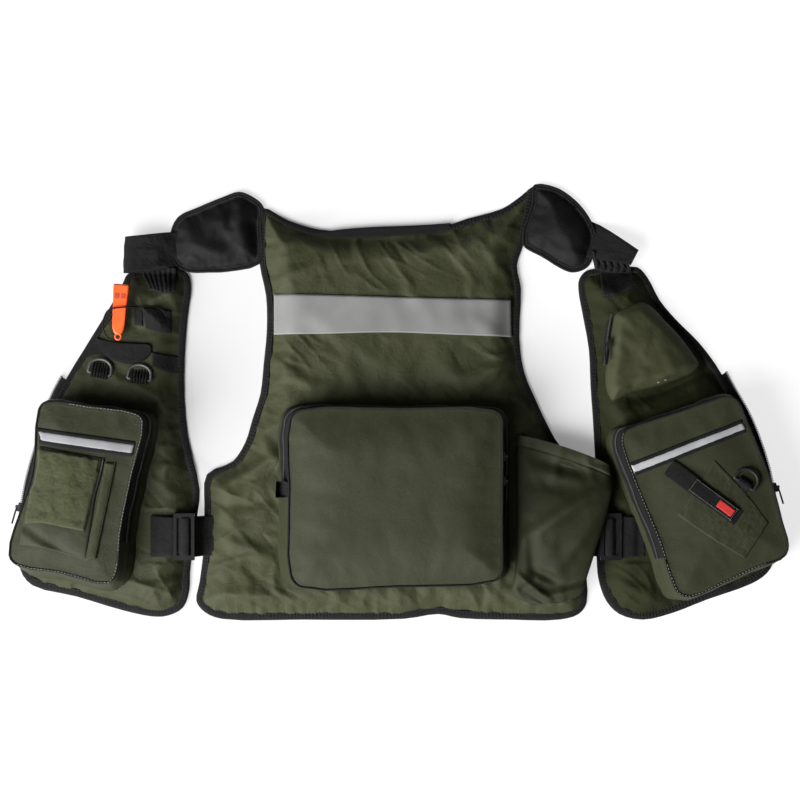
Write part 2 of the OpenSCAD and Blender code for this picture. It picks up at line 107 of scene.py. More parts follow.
def cloth(name, colour, rough=0.6, weave=0.7, kind="twill", vary=0.16, bump=0.35, sheen=0.02,
          streak=0.0, angle=45.0, spec=0.16, crumple=0.0, blotch=0.02):
    """A woven cloth: weave bump, broad colour variation, fine speckle. Lengths are in millimetres."""
    mat = bpy.data.materials.new(name)
    mat.use_nodes = True
    tree = mat.node_tree
    link = tree.links.new
    shader = tree.nodes["Principled BSDF"]
    shader.inputs["Roughness"].default_value = rough
    shader.inputs["Sheen Weight"].default_value = sheen
    shader.inputs["Sheen Roughness"].default_value = 0.5
    shader.inputs["Sheen Tint"].default_value = (*[min(1, 0.35 + c) for c in colour], 1)
    shader.inputs["Specular IOR Level"].default_value = spec
    where = tree.nodes.new("ShaderNodeTexCoord")
    scale = tree.nodes.new("ShaderNodeMapping")
    scale.inputs["Scale"].default_value = (1000, 1000, 1000)
    link(where.outputs["Object"], scale.inputs["Vector"])
    at = scale.outputs["Vector"]

    def wave(period, turn):
        turned = tree.nodes.new("ShaderNodeMapping")
        turned.inputs["Rotation"].default_value = (0.12, 0.12, math.radians(turn))
        link(at, turned.inputs["Vector"])
        out = node_of(tree, "ShaderNodeTexWave", Scale=0.314 / period, Distortion=0.0)
        out.wave_type = "BANDS"
        out.bands_direction = "X"
        link(turned.outputs["Vector"], out.inputs["Vector"])
        return out.outputs["Fac"]

    def math_of(op, a, b):
        out = tree.nodes.new("ShaderNodeMath")
        out.operation = op
        for socket, value in zip(out.inputs, (a, b)):
            if isinstance(value, float):
                socket.default_value = value
            else:
                link(value, socket)
        return out.outputs[0]

    if kind == "twill":
        relief = math_of("ADD", wave(weave, angle), math_of("MULTIPLY", wave(weave * 0.8, angle - 80), 0.5))
    elif kind == "rib":
        relief = math_of("ADD", wave(weave, angle), math_of("MULTIPLY", wave(weave * 0.45, angle + 90), 0.35))
    elif kind == "mesh":
        relief = math_of("MULTIPLY", wave(weave, angle), wave(weave, angle + 90))
    else:
        fuzz = node_of(tree, "ShaderNodeTexNoise", Scale=1.0 / weave, Detail=6.0, Roughness=0.75)
        link(at, fuzz.inputs["Vector"])
        relief = fuzz.outputs["Fac"]
    grain = node_of(tree, "ShaderNodeTexNoise", Scale=0.9, Detail=4.0, Roughness=0.6)
    link(at, grain.inputs["Vector"])
    relief = math_of("ADD", relief, math_of("MULTIPLY", grain.outputs["Fac"], 0.5))
    bump_node = node_of(tree, "ShaderNodeBump", Strength=bump, Distance=0.00025)
    link(relief, bump_node.inputs["Height"])
    if crumple:
        small = node_of(tree, "ShaderNodeTexNoise", Scale=0.11, Detail=5.0, Roughness=0.62, Distortion=1.2)
        link(at, small.inputs["Vector"])
        under = node_of(tree, "ShaderNodeBump", Strength=crumple, Distance=0.0022)
        link(small.outputs["Fac"], under.inputs["Height"])
        link(under.outputs["Normal"], bump_node.inputs["Normal"])
    link(bump_node.outputs["Normal"], shader.inputs["Normal"])

    broad = node_of(tree, "ShaderNodeTexNoise", Scale=blotch, Detail=5.0, Roughness=0.6)
    link(at, broad.inputs["Vector"])
    tone = math_of("ADD", math_of("MULTIPLY", broad.outputs["Fac"], vary),
                   math_of("MULTIPLY", relief, vary * 0.35))
    if streak:
        tone = math_of("ADD", tone, math_of("MULTIPLY", wave(3.6, angle), streak))
        speckle = node_of(tree, "ShaderNodeTexNoise", Scale=0.22, Detail=2.0, Roughness=0.5)
        link(at, speckle.inputs["Vector"])
        tone = math_of("ADD", tone, math_of("MULTIPLY", speckle.outputs["Fac"], streak))
    ramp = tree.nodes.new("ShaderNodeValToRGB")
    middle = vary * 0.72 + streak
    ramp.color_ramp.elements[0].position = max(0.0, middle - 0.35)
    ramp.color_ramp.elements[1].position = middle + 0.35
    ramp.color_ramp.elements[0].color = (*[c * 0.45 for c in colour], 1)
    ramp.color_ramp.elements[1].color = (*[min(1, c * 1.55) for c in colour], 1)
    link(tone, ramp.inputs["Fac"])
    link(ramp.outputs["Color"], shader.inputs["Base Color"])
    return mat


def hard(name, colour, rough=0.4, metallic=0.0, spec=0.5, grain=0.06):
    """A moulded or metal finish with fine moulding grain and faint handling marks."""
    mat = bpy.data.materials.new(name)
    mat.use_nodes = True
    tree = mat.node_tree
    link = tree.links.new
    shader = tree.nodes["Principled BSDF"]
    shader.inputs["Metallic"].default_value = metallic
    shader.inputs["Specular IOR Level"].default_value = spec
    where = tree.nodes.new("ShaderNodeTexCoord")
    fine = node_of(tree, "ShaderNodeTexNoise", Scale=1400.0, Detail=3.0, Roughness=0.6)
    marks = node_of(tree, "ShaderNodeTexNoise", Scale=90.0, Detail=6.0, Roughness=0.7)
    link(where.outputs["Object"], fine.inputs["Vector"])
    link(where.outputs["Object"], marks.inputs["Vector"])
    bump = node_of(tree, "ShaderNodeBump", Strength=grain, Distance=0.0002)
    link(fine.outputs["Fac"], bump.inputs["Height"])
    link(bump.outputs["Normal"], shader.inputs["Normal"])
    spread = tree.nodes.new("ShaderNodeMapRange")
    spread.inputs["To Min"].default_value = rough * 0.8
    spread.inputs["To Max"].default_value = min(1.0, rough * 1.3)
    link(marks.outputs["Fac"], spread.inputs["Value"])
    link(spread.outputs["Result"], shader.inputs["Roughness"])
    ramp = tree.nodes.new("ShaderNodeValToRGB")
    ramp.color_ramp.elements[0].position = 0.3
    ramp.color_ramp.elements[1].position = 0.75
    ramp.color_ramp.elements[0].color = (*[c * 0.85 for c in colour], 1)
    ramp.color_ramp.elements[1].color = (*[min(1, c * 1.15) for c in colour], 1)
    link(marks.outputs["Fac"], ramp.inputs["Fac"])
    link(ramp.outputs["Color"], shader.inputs["Base Color"])
    return mat


MATS = {
    # The olive cloth comes in copies painted lighter or darker for how the light falls on each part. Painted
    # light: the back panel and the left front are lighter copies.
    "back": cloth("olive_back_painted_light", (0.0385, 0.0415, 0.0182), rough=0.6, weave=0.9, bump=0.45, crumple=0.45),
    "left": cloth("olive_left", (0.0315, 0.0342, 0.0150), rough=0.6, weave=0.9, bump=0.45, crumple=0.5),
    # Painted shade: the right front is a darker copy of the olive, for the weaker light on that side.
    "right": cloth("olive_right_painted_shade", (0.0188, 0.0206, 0.0080), rough=0.65, weave=0.9, bump=0.45, crumple=0.5,
                   spec=0.06),
    "pocket": cloth("olive_pocket", (0.0265, 0.0288, 0.0142), rough=0.6, weave=0.9, bump=0.4, streak=0.05,
                    crumple=0.22),
    # Painted light on the chest pocket, a lighter copy; painted shade on the bottle pocket, a darker copy.
    "chest": cloth("olive_chest_painted_light", (0.0420, 0.0455, 0.0200), rough=0.6, weave=0.9, bump=0.45, crumple=0.3),
    "bottle": cloth("olive_bottle_painted_shade", (0.0188, 0.0208, 0.0087), rough=0.62, weave=0.9, bump=0.45, crumple=0.28),
    "gusset": cloth("olive_gusset", (0.0270, 0.0300, 0.0130), rough=0.62, weave=0.9, bump=0.45, crumple=0.5),
    # Painted shade: the left pocket's face is a darker copy of the olive, against the strong light on that side.
    "left_face": cloth("olive_left_pocket_painted_shade", (0.0212, 0.0232, 0.0112), rough=0.6, weave=0.9, bump=0.4,
                       streak=0.05, crumple=0.3),
    "loop": cloth("olive_loop", (0.0212, 0.0232, 0.0105), rough=0.9, weave=1.5, kind="fuzz", vary=1.3,
                  bump=1.0, sheen=0.2, blotch=0.1),
    "binding": cloth("black_binding", (0.0062, 0.0062, 0.0060), rough=0.75, weave=1.0, kind="rib", vary=0.3,
                     bump=1.0, angle=20, sheen=0.03),
    "webbing": cloth("black_webbing", (0.0046, 0.0046, 0.0045), rough=0.7, weave=1.3, kind="rib", vary=1.6,
                     bump=1.0, angle=4, sheen=0.01, spec=0.12, crumple=0.6, blotch=0.22),
    "pad": cloth("black_pad", (0.0060, 0.0054, 0.0058), rough=0.62, weave=0.7, vary=0.12, bump=0.35,
                 spec=0.14, crumple=0.3),
    "reflective": cloth("silver_tape", (0.235, 0.235, 0.232), rough=0.7, weave=1.1, kind="mesh", vary=0.12,
                        bump=0.25, sheen=0.0, angle=45),
    # Painted shade: the left strip is a darker copy of the silver strip, against the light that falls strongly
    # on it.
    "left_strip": cloth("silver_strip_left_painted_shade", (0.29, 0.293, 0.305), rough=0.8, weave=1.1, kind="mesh",
                        vary=0.12, bump=0.25, sheen=0.0, angle=45, spec=0.08),
    "strip": cloth("silver_strip", (0.43, 0.435, 0.45), rough=0.8, weave=1.1, kind="mesh", vary=0.12,
                   bump=0.25, sheen=0.0, angle=45),
    "lining": cloth("black_mesh", (0.0070, 0.0070, 0.0072), rough=0.85, weave=2.4, kind="mesh", vary=0.2,
                    bump=1.0),
    "zip": cloth("zip_tape", (0.0050, 0.0050, 0.0050), rough=0.66, weave=0.8, kind="rib", vary=0.3, bump=0.8,
                 angle=90),
    "thread_black": hard("black_thread", (0.022, 0.022, 0.021), rough=0.7),
    "thread_olive": hard("olive_thread", (0.036, 0.040, 0.020), rough=0.7),
    "thread_grey": hard("grey_thread", (0.15, 0.155, 0.13), rough=0.7),
    "teeth": hard("zip_teeth", (0.030, 0.030, 0.030), rough=0.35),
    "plastic": hard("black_acetal", (0.0055, 0.0055, 0.0057), rough=0.4, grain=0.2, spec=0.16),
    "ring": hard("grey_acetal", (0.030, 0.031, 0.030), rough=0.4, grain=0.3),
    # Painted shade: a darker copy of the grey ring finish, for the D-ring on the right, away from the light.
    "ring_painted_shade": hard("acetal_painted_shade", (0.012, 0.012, 0.012), rough=0.5, grain=0.3, spec=0.2),
    "metal": hard("painted_zinc", (0.02, 0.02, 0.021), rough=0.3, metallic=0.6),
    "orange": hard("orange_moulding", (0.74, 0.074, 0.002), rough=0.42, grain=0.03),
    # Painted shade: the dark orange of the whistle's windows and mouthpiece slot.
    "orange_painted_shade": hard("orange_window_shade", (0.30, 0.022, 0.003), rough=0.6),
    # Painted shade: the near-black of the gap beside the tool tape.
    "dark": hard("painted_gap_shade", (0.003, 0.003, 0.003), rough=0.8),
    "cord": cloth("black_cord", (0.0060, 0.0060, 0.0060), rough=0.7, weave=0.6, kind="twill", bump=0.8),
    "label": hard("blank_label", (0.42, 0.014, 0.014), rough=0.55),
    "cream": cloth("cream_tape", (0.22, 0.21, 0.17), rough=0.7, weave=0.8, bump=0.3),
}


# ---------------------------------------------------------------- plane geometry

def area_of(loop):
    x, y = loop.T
    return 0.5 * float(np.sum(x * np.roll(y, -1) - np.roll(x, -1) * y))


def outline_of(node, z):
    """The outer edge, anticlockwise, of a CAD node's flat face at height z, in metres."""
    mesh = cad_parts[node].data
    co = np.empty(len(mesh.vertices) * 3)
    mesh.vertices.foreach_get("co", co)
    co = co.reshape(-1, 3)
    mesh.calc_loop_triangles()
    tri = np.empty(len(mesh.loop_triangles) * 3, dtype=np.int64)
    mesh.loop_triangles.foreach_get("vertices", tri)
    _, first, inverse = np.unique(np.round(co * 1e6).astype(np.int64), axis=0, return_index=True,
                                  return_inverse=True)
    co = co[first]
    tri = inverse.reshape(-1)[tri].reshape(-1, 3)
    flat = tri[np.all(np.abs(co[tri][:, :, 2] - z) < 3e-5, axis=1)]
    count = {}
    for a, b, c in flat.tolist():
        for e in ((a, b), (b, c), (c, a)):
            key = (min(e), max(e))
            count[key] = count.get(key, 0) + 1
    near = {}
    for (a, b), n in count.items():
        if n == 1:
            near.setdefault(a, []).append(b)
            near.setdefault(b, []).append(a)
    best, seen = None, set()
    for start in near:
        if start in seen:
            continue
        seen.add(start)
        loop = [start]
        while True:
            ahead = [n for n in near[loop[-1]] if n not in seen]
            if not ahead:
                break
            seen.add(ahead[0])
            loop.append(ahead[0])
        points = co[loop][:, :2]
        if best is None or abs(area_of(points)) > abs(area_of(best)):
            best = points
    return best if area_of(best) > 0 else best[::-1]


def spaced(points, step, closed=True):
    """The same line with even spacing. Works in 2 or 3 dimensions."""
    points = np.asarray(points, dtype=float)
    ring = np.vstack([points, points[:1]]) if closed else points
    run = np.concatenate([[0], np.cumsum(np.linalg.norm(np.diff(ring, axis=0), axis=1))])
    n = max(3, int(round(run[-1] / step)))
    at = np.linspace(0, run[-1], n + 1)
    if closed:
        at = at[:-1]
    return np.stack([np.interp(at, run, ring[:, k]) for k in range(ring.shape[1])], axis=1)


def curve(points, step=4 * MM, closed=False):
    """A smooth line through a few points, evenly spaced."""
    p = np.asarray(points, dtype=float)
    n = len(p)
    out = []
    for i in range(n if closed else n - 1):
        a = p[(i - 1) % n] if closed or i > 0 else 2 * p[0] - p[1]
        b, c = p[i], p[(i + 1) % n]
        d = p[(i + 2) % n] if closed or i < n - 2 else 2 * p[-1] - p[-2]
        for t in np.linspace(0, 1, 12, endpoint=False):
            out.append(0.5 * (2 * b + (c - a) * t + (2 * a - 5 * b + 4 * c - d) * t * t
                              + (3 * b - a - 3 * c + d) * t ** 3))
    if not closed:
        out.append(p[-1])
    return spaced(np.array(out), step, closed)


def inward(loop):
    """Unit normals that point into an anticlockwise loop."""
    along = np.roll(loop, -1, axis=0) - np.roll(loop, 1, axis=0)
    along /= np.maximum(np.linalg.norm(along, axis=1, keepdims=True), 1e-9)
    return np.stack([-along[:, 1], along[:, 0]], axis=1)


def inset(loop, by):
    """The loop moved inwards, with its tight corners smoothed."""
    n = inward(loop)
    for _ in range(2):
        n = (np.roll(n, 1, axis=0) + 2 * n + np.roll(n, -1, axis=0)) / 4
    n /= np.linalg.norm(n, axis=1, keepdims=True)
    return loop + n * (np.asarray(by).reshape(-1, 1) if np.ndim(by) else by)


def to_edge(points, loop):
    """Distance from each point to the loop, and how far round the loop the nearest place is."""
    a = loop
    b = np.roll(loop, -1, axis=0)
    ab = b - a
    size = np.maximum(np.sum(ab * ab, axis=1), 1e-12)
    run = np.concatenate([[0], np.cumsum(np.sqrt(size))[:-1]])
    dist = np.empty(len(points))
    place = np.empty(len(points))
    for k in range(0, len(points), 2000):
        p = points[k:k + 2000, None, :]
        t = np.clip(np.sum((p - a) * ab, axis=2) / size, 0, 1)
        d = np.linalg.norm(p - (a + t[:, :, None] * ab), axis=2)
        i = np.argmin(d, axis=1)
        rows = np.arange(len(i))
        dist[k:k + 2000] = d[rows, i]
        place[k:k + 2000] = run[i] + t[rows, i] * np.sqrt(size[i])
    return dist, place


def inside(points, loop):
    x, y = points[:, 0], points[:, 1]
    hit = np.zeros(len(points), dtype=bool)
    for (ax, ay), (bx, by) in zip(loop, np.roll(loop, -1, axis=0)):
        if ay == by:
            continue
        cross = (ay > y) != (by > y)
        hit ^= cross & (x < (bx - ax) * (y - ay) / (by - ay) + ax)
    return hit


def fill(loop, step, seed=1):
    """Points and triangles that fill a loop, about `step` apart."""
    rng = np.random.default_rng(seed)
    low, high = loop.min(0), loop.max(0)
    rows = np.arange(low[1], high[1], step * 0.866)
    cols = np.arange(low[0] - step, high[0] + step, step)
    x, y = np.meshgrid(cols, rows)
    x = x + (np.arange(len(rows)) % 2)[:, None] * step / 2
    grid = np.stack([x.ravel(), y.ravel()], axis=1) + rng.uniform(-0.16, 0.16, (x.size, 2)) * step
    grid = grid[inside(grid, loop)]
    grid = grid[to_edge(grid, loop)[0] > step * 0.55]
    points = np.vstack([loop, grid])
    edges = [(i, (i + 1) % len(loop)) for i in range(len(loop))]
    out = delaunay_2d_cdt([Vector(p) for p in points], edges, [], 1, 1e-7)
    return np.array([v[:] for v in out[0]]), [tuple(f) for f in out[2]]


# ---------------------------------------------------------------- noise

def lattice(ix, iy, seed):
    n = (ix * 374761393 + iy * 668265263 + seed * 974634777) & 0x7FFFFFFF
    n = ((n ^ (n >> 13)) * 1274126177) & 0x7FFFFFFF
    return ((n ^ (n >> 16)) & 0xFFFF) / 32767.5 - 1


def noise(x, y, size, seed=0):
    """Smooth noise from -1 to 1 with features of about `size`."""
    x = np.asarray(x) / size
    y = np.asarray(y) / size
    ix, iy = np.floor(x).astype(np.int64), np.floor(y).astype(np.int64)
    fx, fy = x - ix, y - iy
    fx = fx * fx * (3 - 2 * fx)
    fy = fy * fy * (3 - 2 * fy)
    a, b = lattice(ix, iy, seed), lattice(ix + 1, iy, seed)
    c, d = lattice(ix, iy + 1, seed), lattice(ix + 1, iy + 1, seed)
    return (a * (1 - fx) + b * fx) * (1 - fy) + (c * (1 - fx) + d * fx) * fy


def clouds(x, y, size, seed=0, octaves=3):
    total = 0
    for k in range(octaves):
        total = total + noise(x, y, size / 2 ** k, seed + 17 * k) / 2 ** k
    return total


def step_up(x, a, b):
    t = np.clip((np.asarray(x) - a) / (b - a), 0, 1)
    return t * t * (3 - 2 * t)


# ---------------------------------------------------------------- pieces

def piece(name, verts, faces, mat, body, replaces=(), smooth=True, slot=None):
    """A mesh that rides on a body and may stand for CAD nodes."""
    mesh = bpy.data.meshes.new(name)
    mesh.from_pydata([(v[0], v[1], max(v[2], FLOOR_GAP)) for v in verts], [], [tuple(f) for f in faces])
    mesh.validate()
    mesh.update()
    mesh.materials.append(MATS[mat])
    if smooth:
        mesh.polygons.foreach_set("use_smooth", [True] * len(mesh.polygons))
    obj = bpy.data.objects.new(name, mesh)
    scene.collection.objects.link(obj)
    if isinstance(body, tuple):
        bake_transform(obj)
    elif body == "back_panel_squash":
        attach(obj, "back_panel")
        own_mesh(obj)
    else:
        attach(obj, body)
    if replaces:
        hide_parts(*([replaces] if isinstance(replaces, str) else replaces))
    return obj


def face_outwards(obj, weld=False):
    """Turns every face of a closed piece outwards, and joins doubled vertices if asked."""
    bm = bmesh.new()
    bm.from_mesh(obj.data)
    if weld:
        bmesh.ops.remove_doubles(bm, verts=bm.verts, dist=1e-6)
    bmesh.ops.recalc_face_normals(bm, faces=bm.faces)
    bm.to_mesh(obj.data)
    bm.free()


class Build:
    """Gathers the vertices and faces of one piece."""

    def __init__(self):
        self.verts = []
        self.faces = []

    def add(self, verts, faces):
        start = len(self.verts)
        self.verts.extend([tuple(v) for v in verts])
        self.faces.extend([tuple(i + start for i in f) for f in faces])

    def piece(self, name, mat, body, **more):
        return piece(name, self.verts, self.faces, mat, body, **more)


def ring_faces(rows, cols, wrap_rows=False, wrap_cols=True):
    """Quads of a grid whose columns, and perhaps rows, join end to end."""
    faces = []
    for i in range(rows if wrap_rows else rows - 1):
        for k in range(cols if wrap_cols else cols - 1):
            a, b = i * cols + k, i * cols + (k + 1) % cols
            c, d = ((i + 1) % rows) * cols + (k + 1) % cols, ((i + 1) % rows) * cols + k
            faces.append((a, b, c, d))
    return faces


def sweep(path, profile, side, up, closed=True):
    """A closed profile of (across, height) points carried along a path in space."""
    path, side, up = np.asarray(path), np.asarray(side), np.asarray(up)
    profile = np.asarray(profile)
    verts = (path[:, None, :] + side[:, None, :] * profile[None, :, 0:1]
             + up[:, None, :] * profile[None, :, 1:2]).reshape(-1, 3)
    n, m = len(path), len(profile)
    faces = ring_faces(n, m, wrap_rows=closed)
    if not closed:
        faces += [tuple(range(m - 1, -1, -1)), tuple((n - 1) * m + k for k in range(m))]
    return verts, faces


def circle(r, sides=8, squash=1.0):
    t = np.arange(sides) * 2 * math.pi / sides
    return np.stack([r * np.cos(t), r * squash * np.sin(t)], axis=1)


def frame_of(path, closed, normal=(0, 0, 1)):
    """Side and up directions along a path that lies roughly in a plane."""
    path = np.asarray(path)
    if closed:
        along = np.roll(path, -1, axis=0) - np.roll(path, 1, axis=0)
    else:
        along = np.gradient(path, axis=0)
    along /= np.maximum(np.linalg.norm(along, axis=1, keepdims=True), 1e-9)
    normal = np.broadcast_to(np.asarray(normal, dtype=float), along.shape)
    side = np.cross(normal, along)
    side /= np.maximum(np.linalg.norm(side, axis=1, keepdims=True), 1e-9)
    return along, side, np.cross(along, side)


def tube_into(build, path, r, closed=False, sides=8, squash=1.0):
    _, side, up = frame_of(path, closed)
    verts, faces = sweep(path, circle(r, sides, squash), side, up, closed)
    build.add(verts, faces)


def stitches_into(build, path, pitch=3.6 * MM, length=2.5 * MM, r=0.32 * MM, closed=False):
    """A row of thread stitches laid along a path."""
    path = spaced(path, pitch, closed)
    along, side, up = frame_of(path, closed)
    n = len(path)
    rows = []
    for offset, size in ((-0.5, 0.3), (-0.25, 1.0), (0.25, 1.0), (0.5, 0.3)):
        for a in (0, 1.2566, 2.5133, 3.7699, 5.0265):
            rows.append(path + along * offset * length + (side * math.cos(a) + up * math.sin(a)) * r * size)
    verts = np.stack(rows, axis=1).reshape(-1, 3)
    one = ring_faces(4, 5) + [(4, 3, 2, 1, 0), (15, 16, 17, 18, 19)]
    faces = [tuple(i + s * 20 for i in f) for s in range(n) for f in one]
    build.add(verts, faces)


def box_into(build, centre, ax, ay, az):
    """A box with half-axes ax, ay, az."""
    c, ax, ay, az = (np.asarray(v, dtype=float) for v in (centre, ax, ay, az))
    verts = [c + sx * ax + sy * ay + sz * az for sx in (-1, 1) for sy in (-1, 1) for sz in (-1, 1)]
    build.add(verts, [(0, 1, 3, 2), (4, 6, 7, 5), (0, 4, 5, 1), (2, 3, 7, 6), (0, 2, 6, 4), (1, 5, 7, 3)])


def teeth_into(build, path, pitch, half):
    """A row of zip teeth across a path."""
    path = spaced(path, pitch, closed=False)
    along, side, up = frame_of(path, False)
    for p, a, s, u in zip(path, along, side, up):
        box_into(build, p, a * half[0], s * half[1], u * half[2])


def smooth_field(values, faces, times):
    """Averages a value over the neighbours of each vertex, `times` times."""
    f = np.array(faces)
    pairs = np.vstack([f[:, [k, (k + 1) % f.shape[1]]] for k in range(f.shape[1])])
    pairs = np.vstack([pairs, pairs[:, ::-1]])
    count = np.bincount(pairs[:, 0], minlength=len(values))
    out = values.copy()
    for _ in range(times):
        total = np.bincount(pairs[:, 0], weights=out[pairs[:, 1]], minlength=len(values))
        out = total / np.maximum(count, 1)
    return out


def bvh_of(verts, faces):
    return BVHTree.FromPolygons([tuple(v) for v in verts], [tuple(f) for f in faces])


def height_on(tree, points, miss=0.004):
    """Height of the highest surface under each (x, y)."""
    out = np.empty(len(points))
    for i, (x, y) in enumerate(points):
        hit = tree.ray_cast(Vector((x, y, 0.3)), Vector((0, 0, -1)))[0]
        out[i] = hit.z if hit else miss
    return out


# ---------------------------------------------------------------- cloth simulation

def simulate(verts, faces, pinned, pressure, grow, frames=16):
    """Cloth pinned at some vertices, a little too big for its space, blown up from below."""
    mesh = bpy.data.meshes.new("sim")
    mesh.from_pydata([tuple(v) for v in verts], [], faces)
    obj = bpy.data.objects.new("sim", mesh)
    scene.collection.objects.link(obj)
    group = obj.vertex_groups.new(name="pin")
    group.add([int(i) for i in np.nonzero(pinned)[0]], 1.0, "REPLACE")
    mod = obj.modifiers.new("cloth", "CLOTH")
    s = mod.settings
    s.quality = 5
    s.mass = 0.15
    s.tension_stiffness = s.compression_stiffness = 12
    s.shear_stiffness = 8
    s.bending_stiffness = 0.15
    s.air_damping = 2
    s.vertex_group_mass = "pin"
    s.use_pressure = True
    s.uniform_pressure_force = pressure
    s.shrink_min = -grow
    s.effector_weights.gravity = 0
    mod.collision_settings.use_collision = False
    mod.point_cache.frame_start = 1
    mod.point_cache.frame_end = frames
    for f in range(1, frames + 1):
        scene.frame_set(f)
    done = obj.evaluated_get(bpy.context.evaluated_depsgraph_get()).to_mesh()
    co = np.empty(len(done.vertices) * 3)
    done.vertices.foreach_get("co", co)
    bpy.data.objects.remove(obj)
    bpy.data.meshes.remove(mesh)
    scene.frame_set(1)
    return co.reshape(-1, 3)


def wrinkled(loop, base, pin, coarse, fine, seed, gain=1.0, cap=(3.5 * MM, 4 * MM), **sim):
    """A filled loop at height base(points), with the wrinkles that a cloth simulation gives.

    pin(points, distance) says which simulated points are sewn down.
    """
    verts, faces = fill(spaced(loop, fine), fine, seed)
    z = base(verts)
    cv, cf = fill(spaced(loop, coarse), coarse, seed + 5)
    rough = np.column_stack([cv, base(cv) * 0.92 + noise(cv[:, 0], cv[:, 1], 0.02, seed) * 0.4 * MM])
    d = to_edge(cv, loop)[0]
    blown = simulate(rough, cf, pin(cv, d), **sim)
    broad = smooth_field(blown[:, 2], cf, 40)
    extra = blown[:, 2] - broad
    extra = np.sign(extra) * np.maximum(np.abs(extra) - 0.35 * MM, 0)
    extra = np.clip(extra * gain, -cap[0], cap[1])
    extra[pin(cv, d)] = 0
    spots = cv + np.clip(blown[:, :2] - cv, -2 * MM, 2 * MM)
    tree = bvh_of(np.column_stack([spots, extra]), cf)
    lift = height_on(tree, verts, 0.0)
    z = z + smooth_field(lift, faces, 2)
    return np.column_stack([verts, z]), faces


def rim_of(verts, loop):
    """The vertices on the edge of a filled loop, in order round it."""
    ids = np.nonzero(to_edge(verts[:, :2], loop)[0] < 1e-6)[0]
    return ids[np.argsort(to_edge(verts[ids][:, :2], loop)[1])].tolist()


def skirt_into(build, ring, skirt):
    """Joins the rim of the piece being built to a second ring below it. Returns that ring's first vertex."""
    start, m = len(build.verts), len(ring)
    build.verts.extend([tuple(v) for v in skirt])
    build.faces += [(ring[k], start + k, start + (k + 1) % m, ring[(k + 1) % m]) for k in range(m)]
    return start


# ---------------------------------------------------------------- padded panels

PANELS = {
    "back": ("back_panel", outline_of("back_binding", 0.0)),
    "left": ("left_front", outline_of("left_binding", 0.0)),
    "right": ("right_front", outline_of("right_binding", 0.0)),
}
GROUND = {}


def lane_top(points, key):
    """How high the shell may stand: low where the tri-glide slides on its webbing."""
    if key == "back":
        return np.full(len(points), 1.0)
    low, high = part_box(key + "_tri_glide")
    x = np.abs(points[:, 0])
    side = sorted((abs(low[0]), abs(high[0])))
    lane = step_up(x, side[0] - 0.02, side[0] - 0.01) * (1 - step_up(x, side[1] + 0.048, side[1] + 0.058))
    lane = lane * step_up(points[:, 1], low[1] - 0.012, low[1] - 0.003)
    lane = lane * (1 - step_up(points[:, 1], high[1] + 0.003, high[1] + 0.012))
    return (low[2] - 0.8 * MM) * lane + 0.06 * (1 - lane)


def puff(d):
    """Height of a padded panel at a distance from its edge."""
    full, run = PANEL_TOP - 1.5 * MM, 34 * MM
    start = BINDING_W * 0.7
    low = EDGE_TOP - 0.6 * MM
    t = np.clip((d - start) / run, 0, 1)
    return low + (full - low) * np.sin(t * math.pi / 2) ** 0.85


def puckers(d, s, seed, size=8 * MM, depth=2.1 * MM, reach=14 * MM):
    """Short gathers that run in from a sewn edge."""
    strength = 0.55 + 0.45 * noise(s, s * 0, 70 * MM, seed + 3)
    wave = noise(s, s * 0 + 3.3, size, seed) + 0.5 * noise(s, s * 0 + 9.1, size * 0.45, seed + 1)
    fade = np.exp(-np.maximum(d - BINDING_W * 0.6, 0) / reach)
    return wave * strength * depth * fade * step_up(d, 3 * MM, 9 * MM)


def creases(x, y, turn, size, depth, seed):
    """Crisp small creases that run mostly one way."""
    c, s = math.cos(math.radians(turn)), math.sin(math.radians(turn))
    u, v = x * c + y * s, y * c - x * s
    v = v + 12 * MM * noise(x, y, 55 * MM, seed + 1)
    line = noise(u / 3.5, v, size, seed)
    where = step_up(noise(x, y, 60 * MM, seed + 2), -0.15, 0.55)
    return depth * np.clip(1 - 3.0 * np.abs(line), 0, 1) ** 1.3 * where


def folds(points, lines):
    """Soft ridges along given lines: (from, to, height in mm, width in mm)."""
    z = np.zeros(len(points))
    for a, b, high, wide in lines:
        a, b = np.array(a) * MM, np.array(b) * MM
        ab = b - a
        length = np.linalg.norm(ab)
        t = ((points - a) @ ab) / length ** 2
        off = (points - a) @ np.array([-ab[1], ab[0]]) / length
        off = off + 0.12 * length * np.sin(np.clip(t, 0, 1) * math.pi) * 0.25
        taper = np.clip(np.sin(np.clip(t, 0, 1) * math.pi), 0, 1) ** 0.7
        z += high * MM * taper * np.exp(-(off / (wide * MM)) ** 2)
    return z


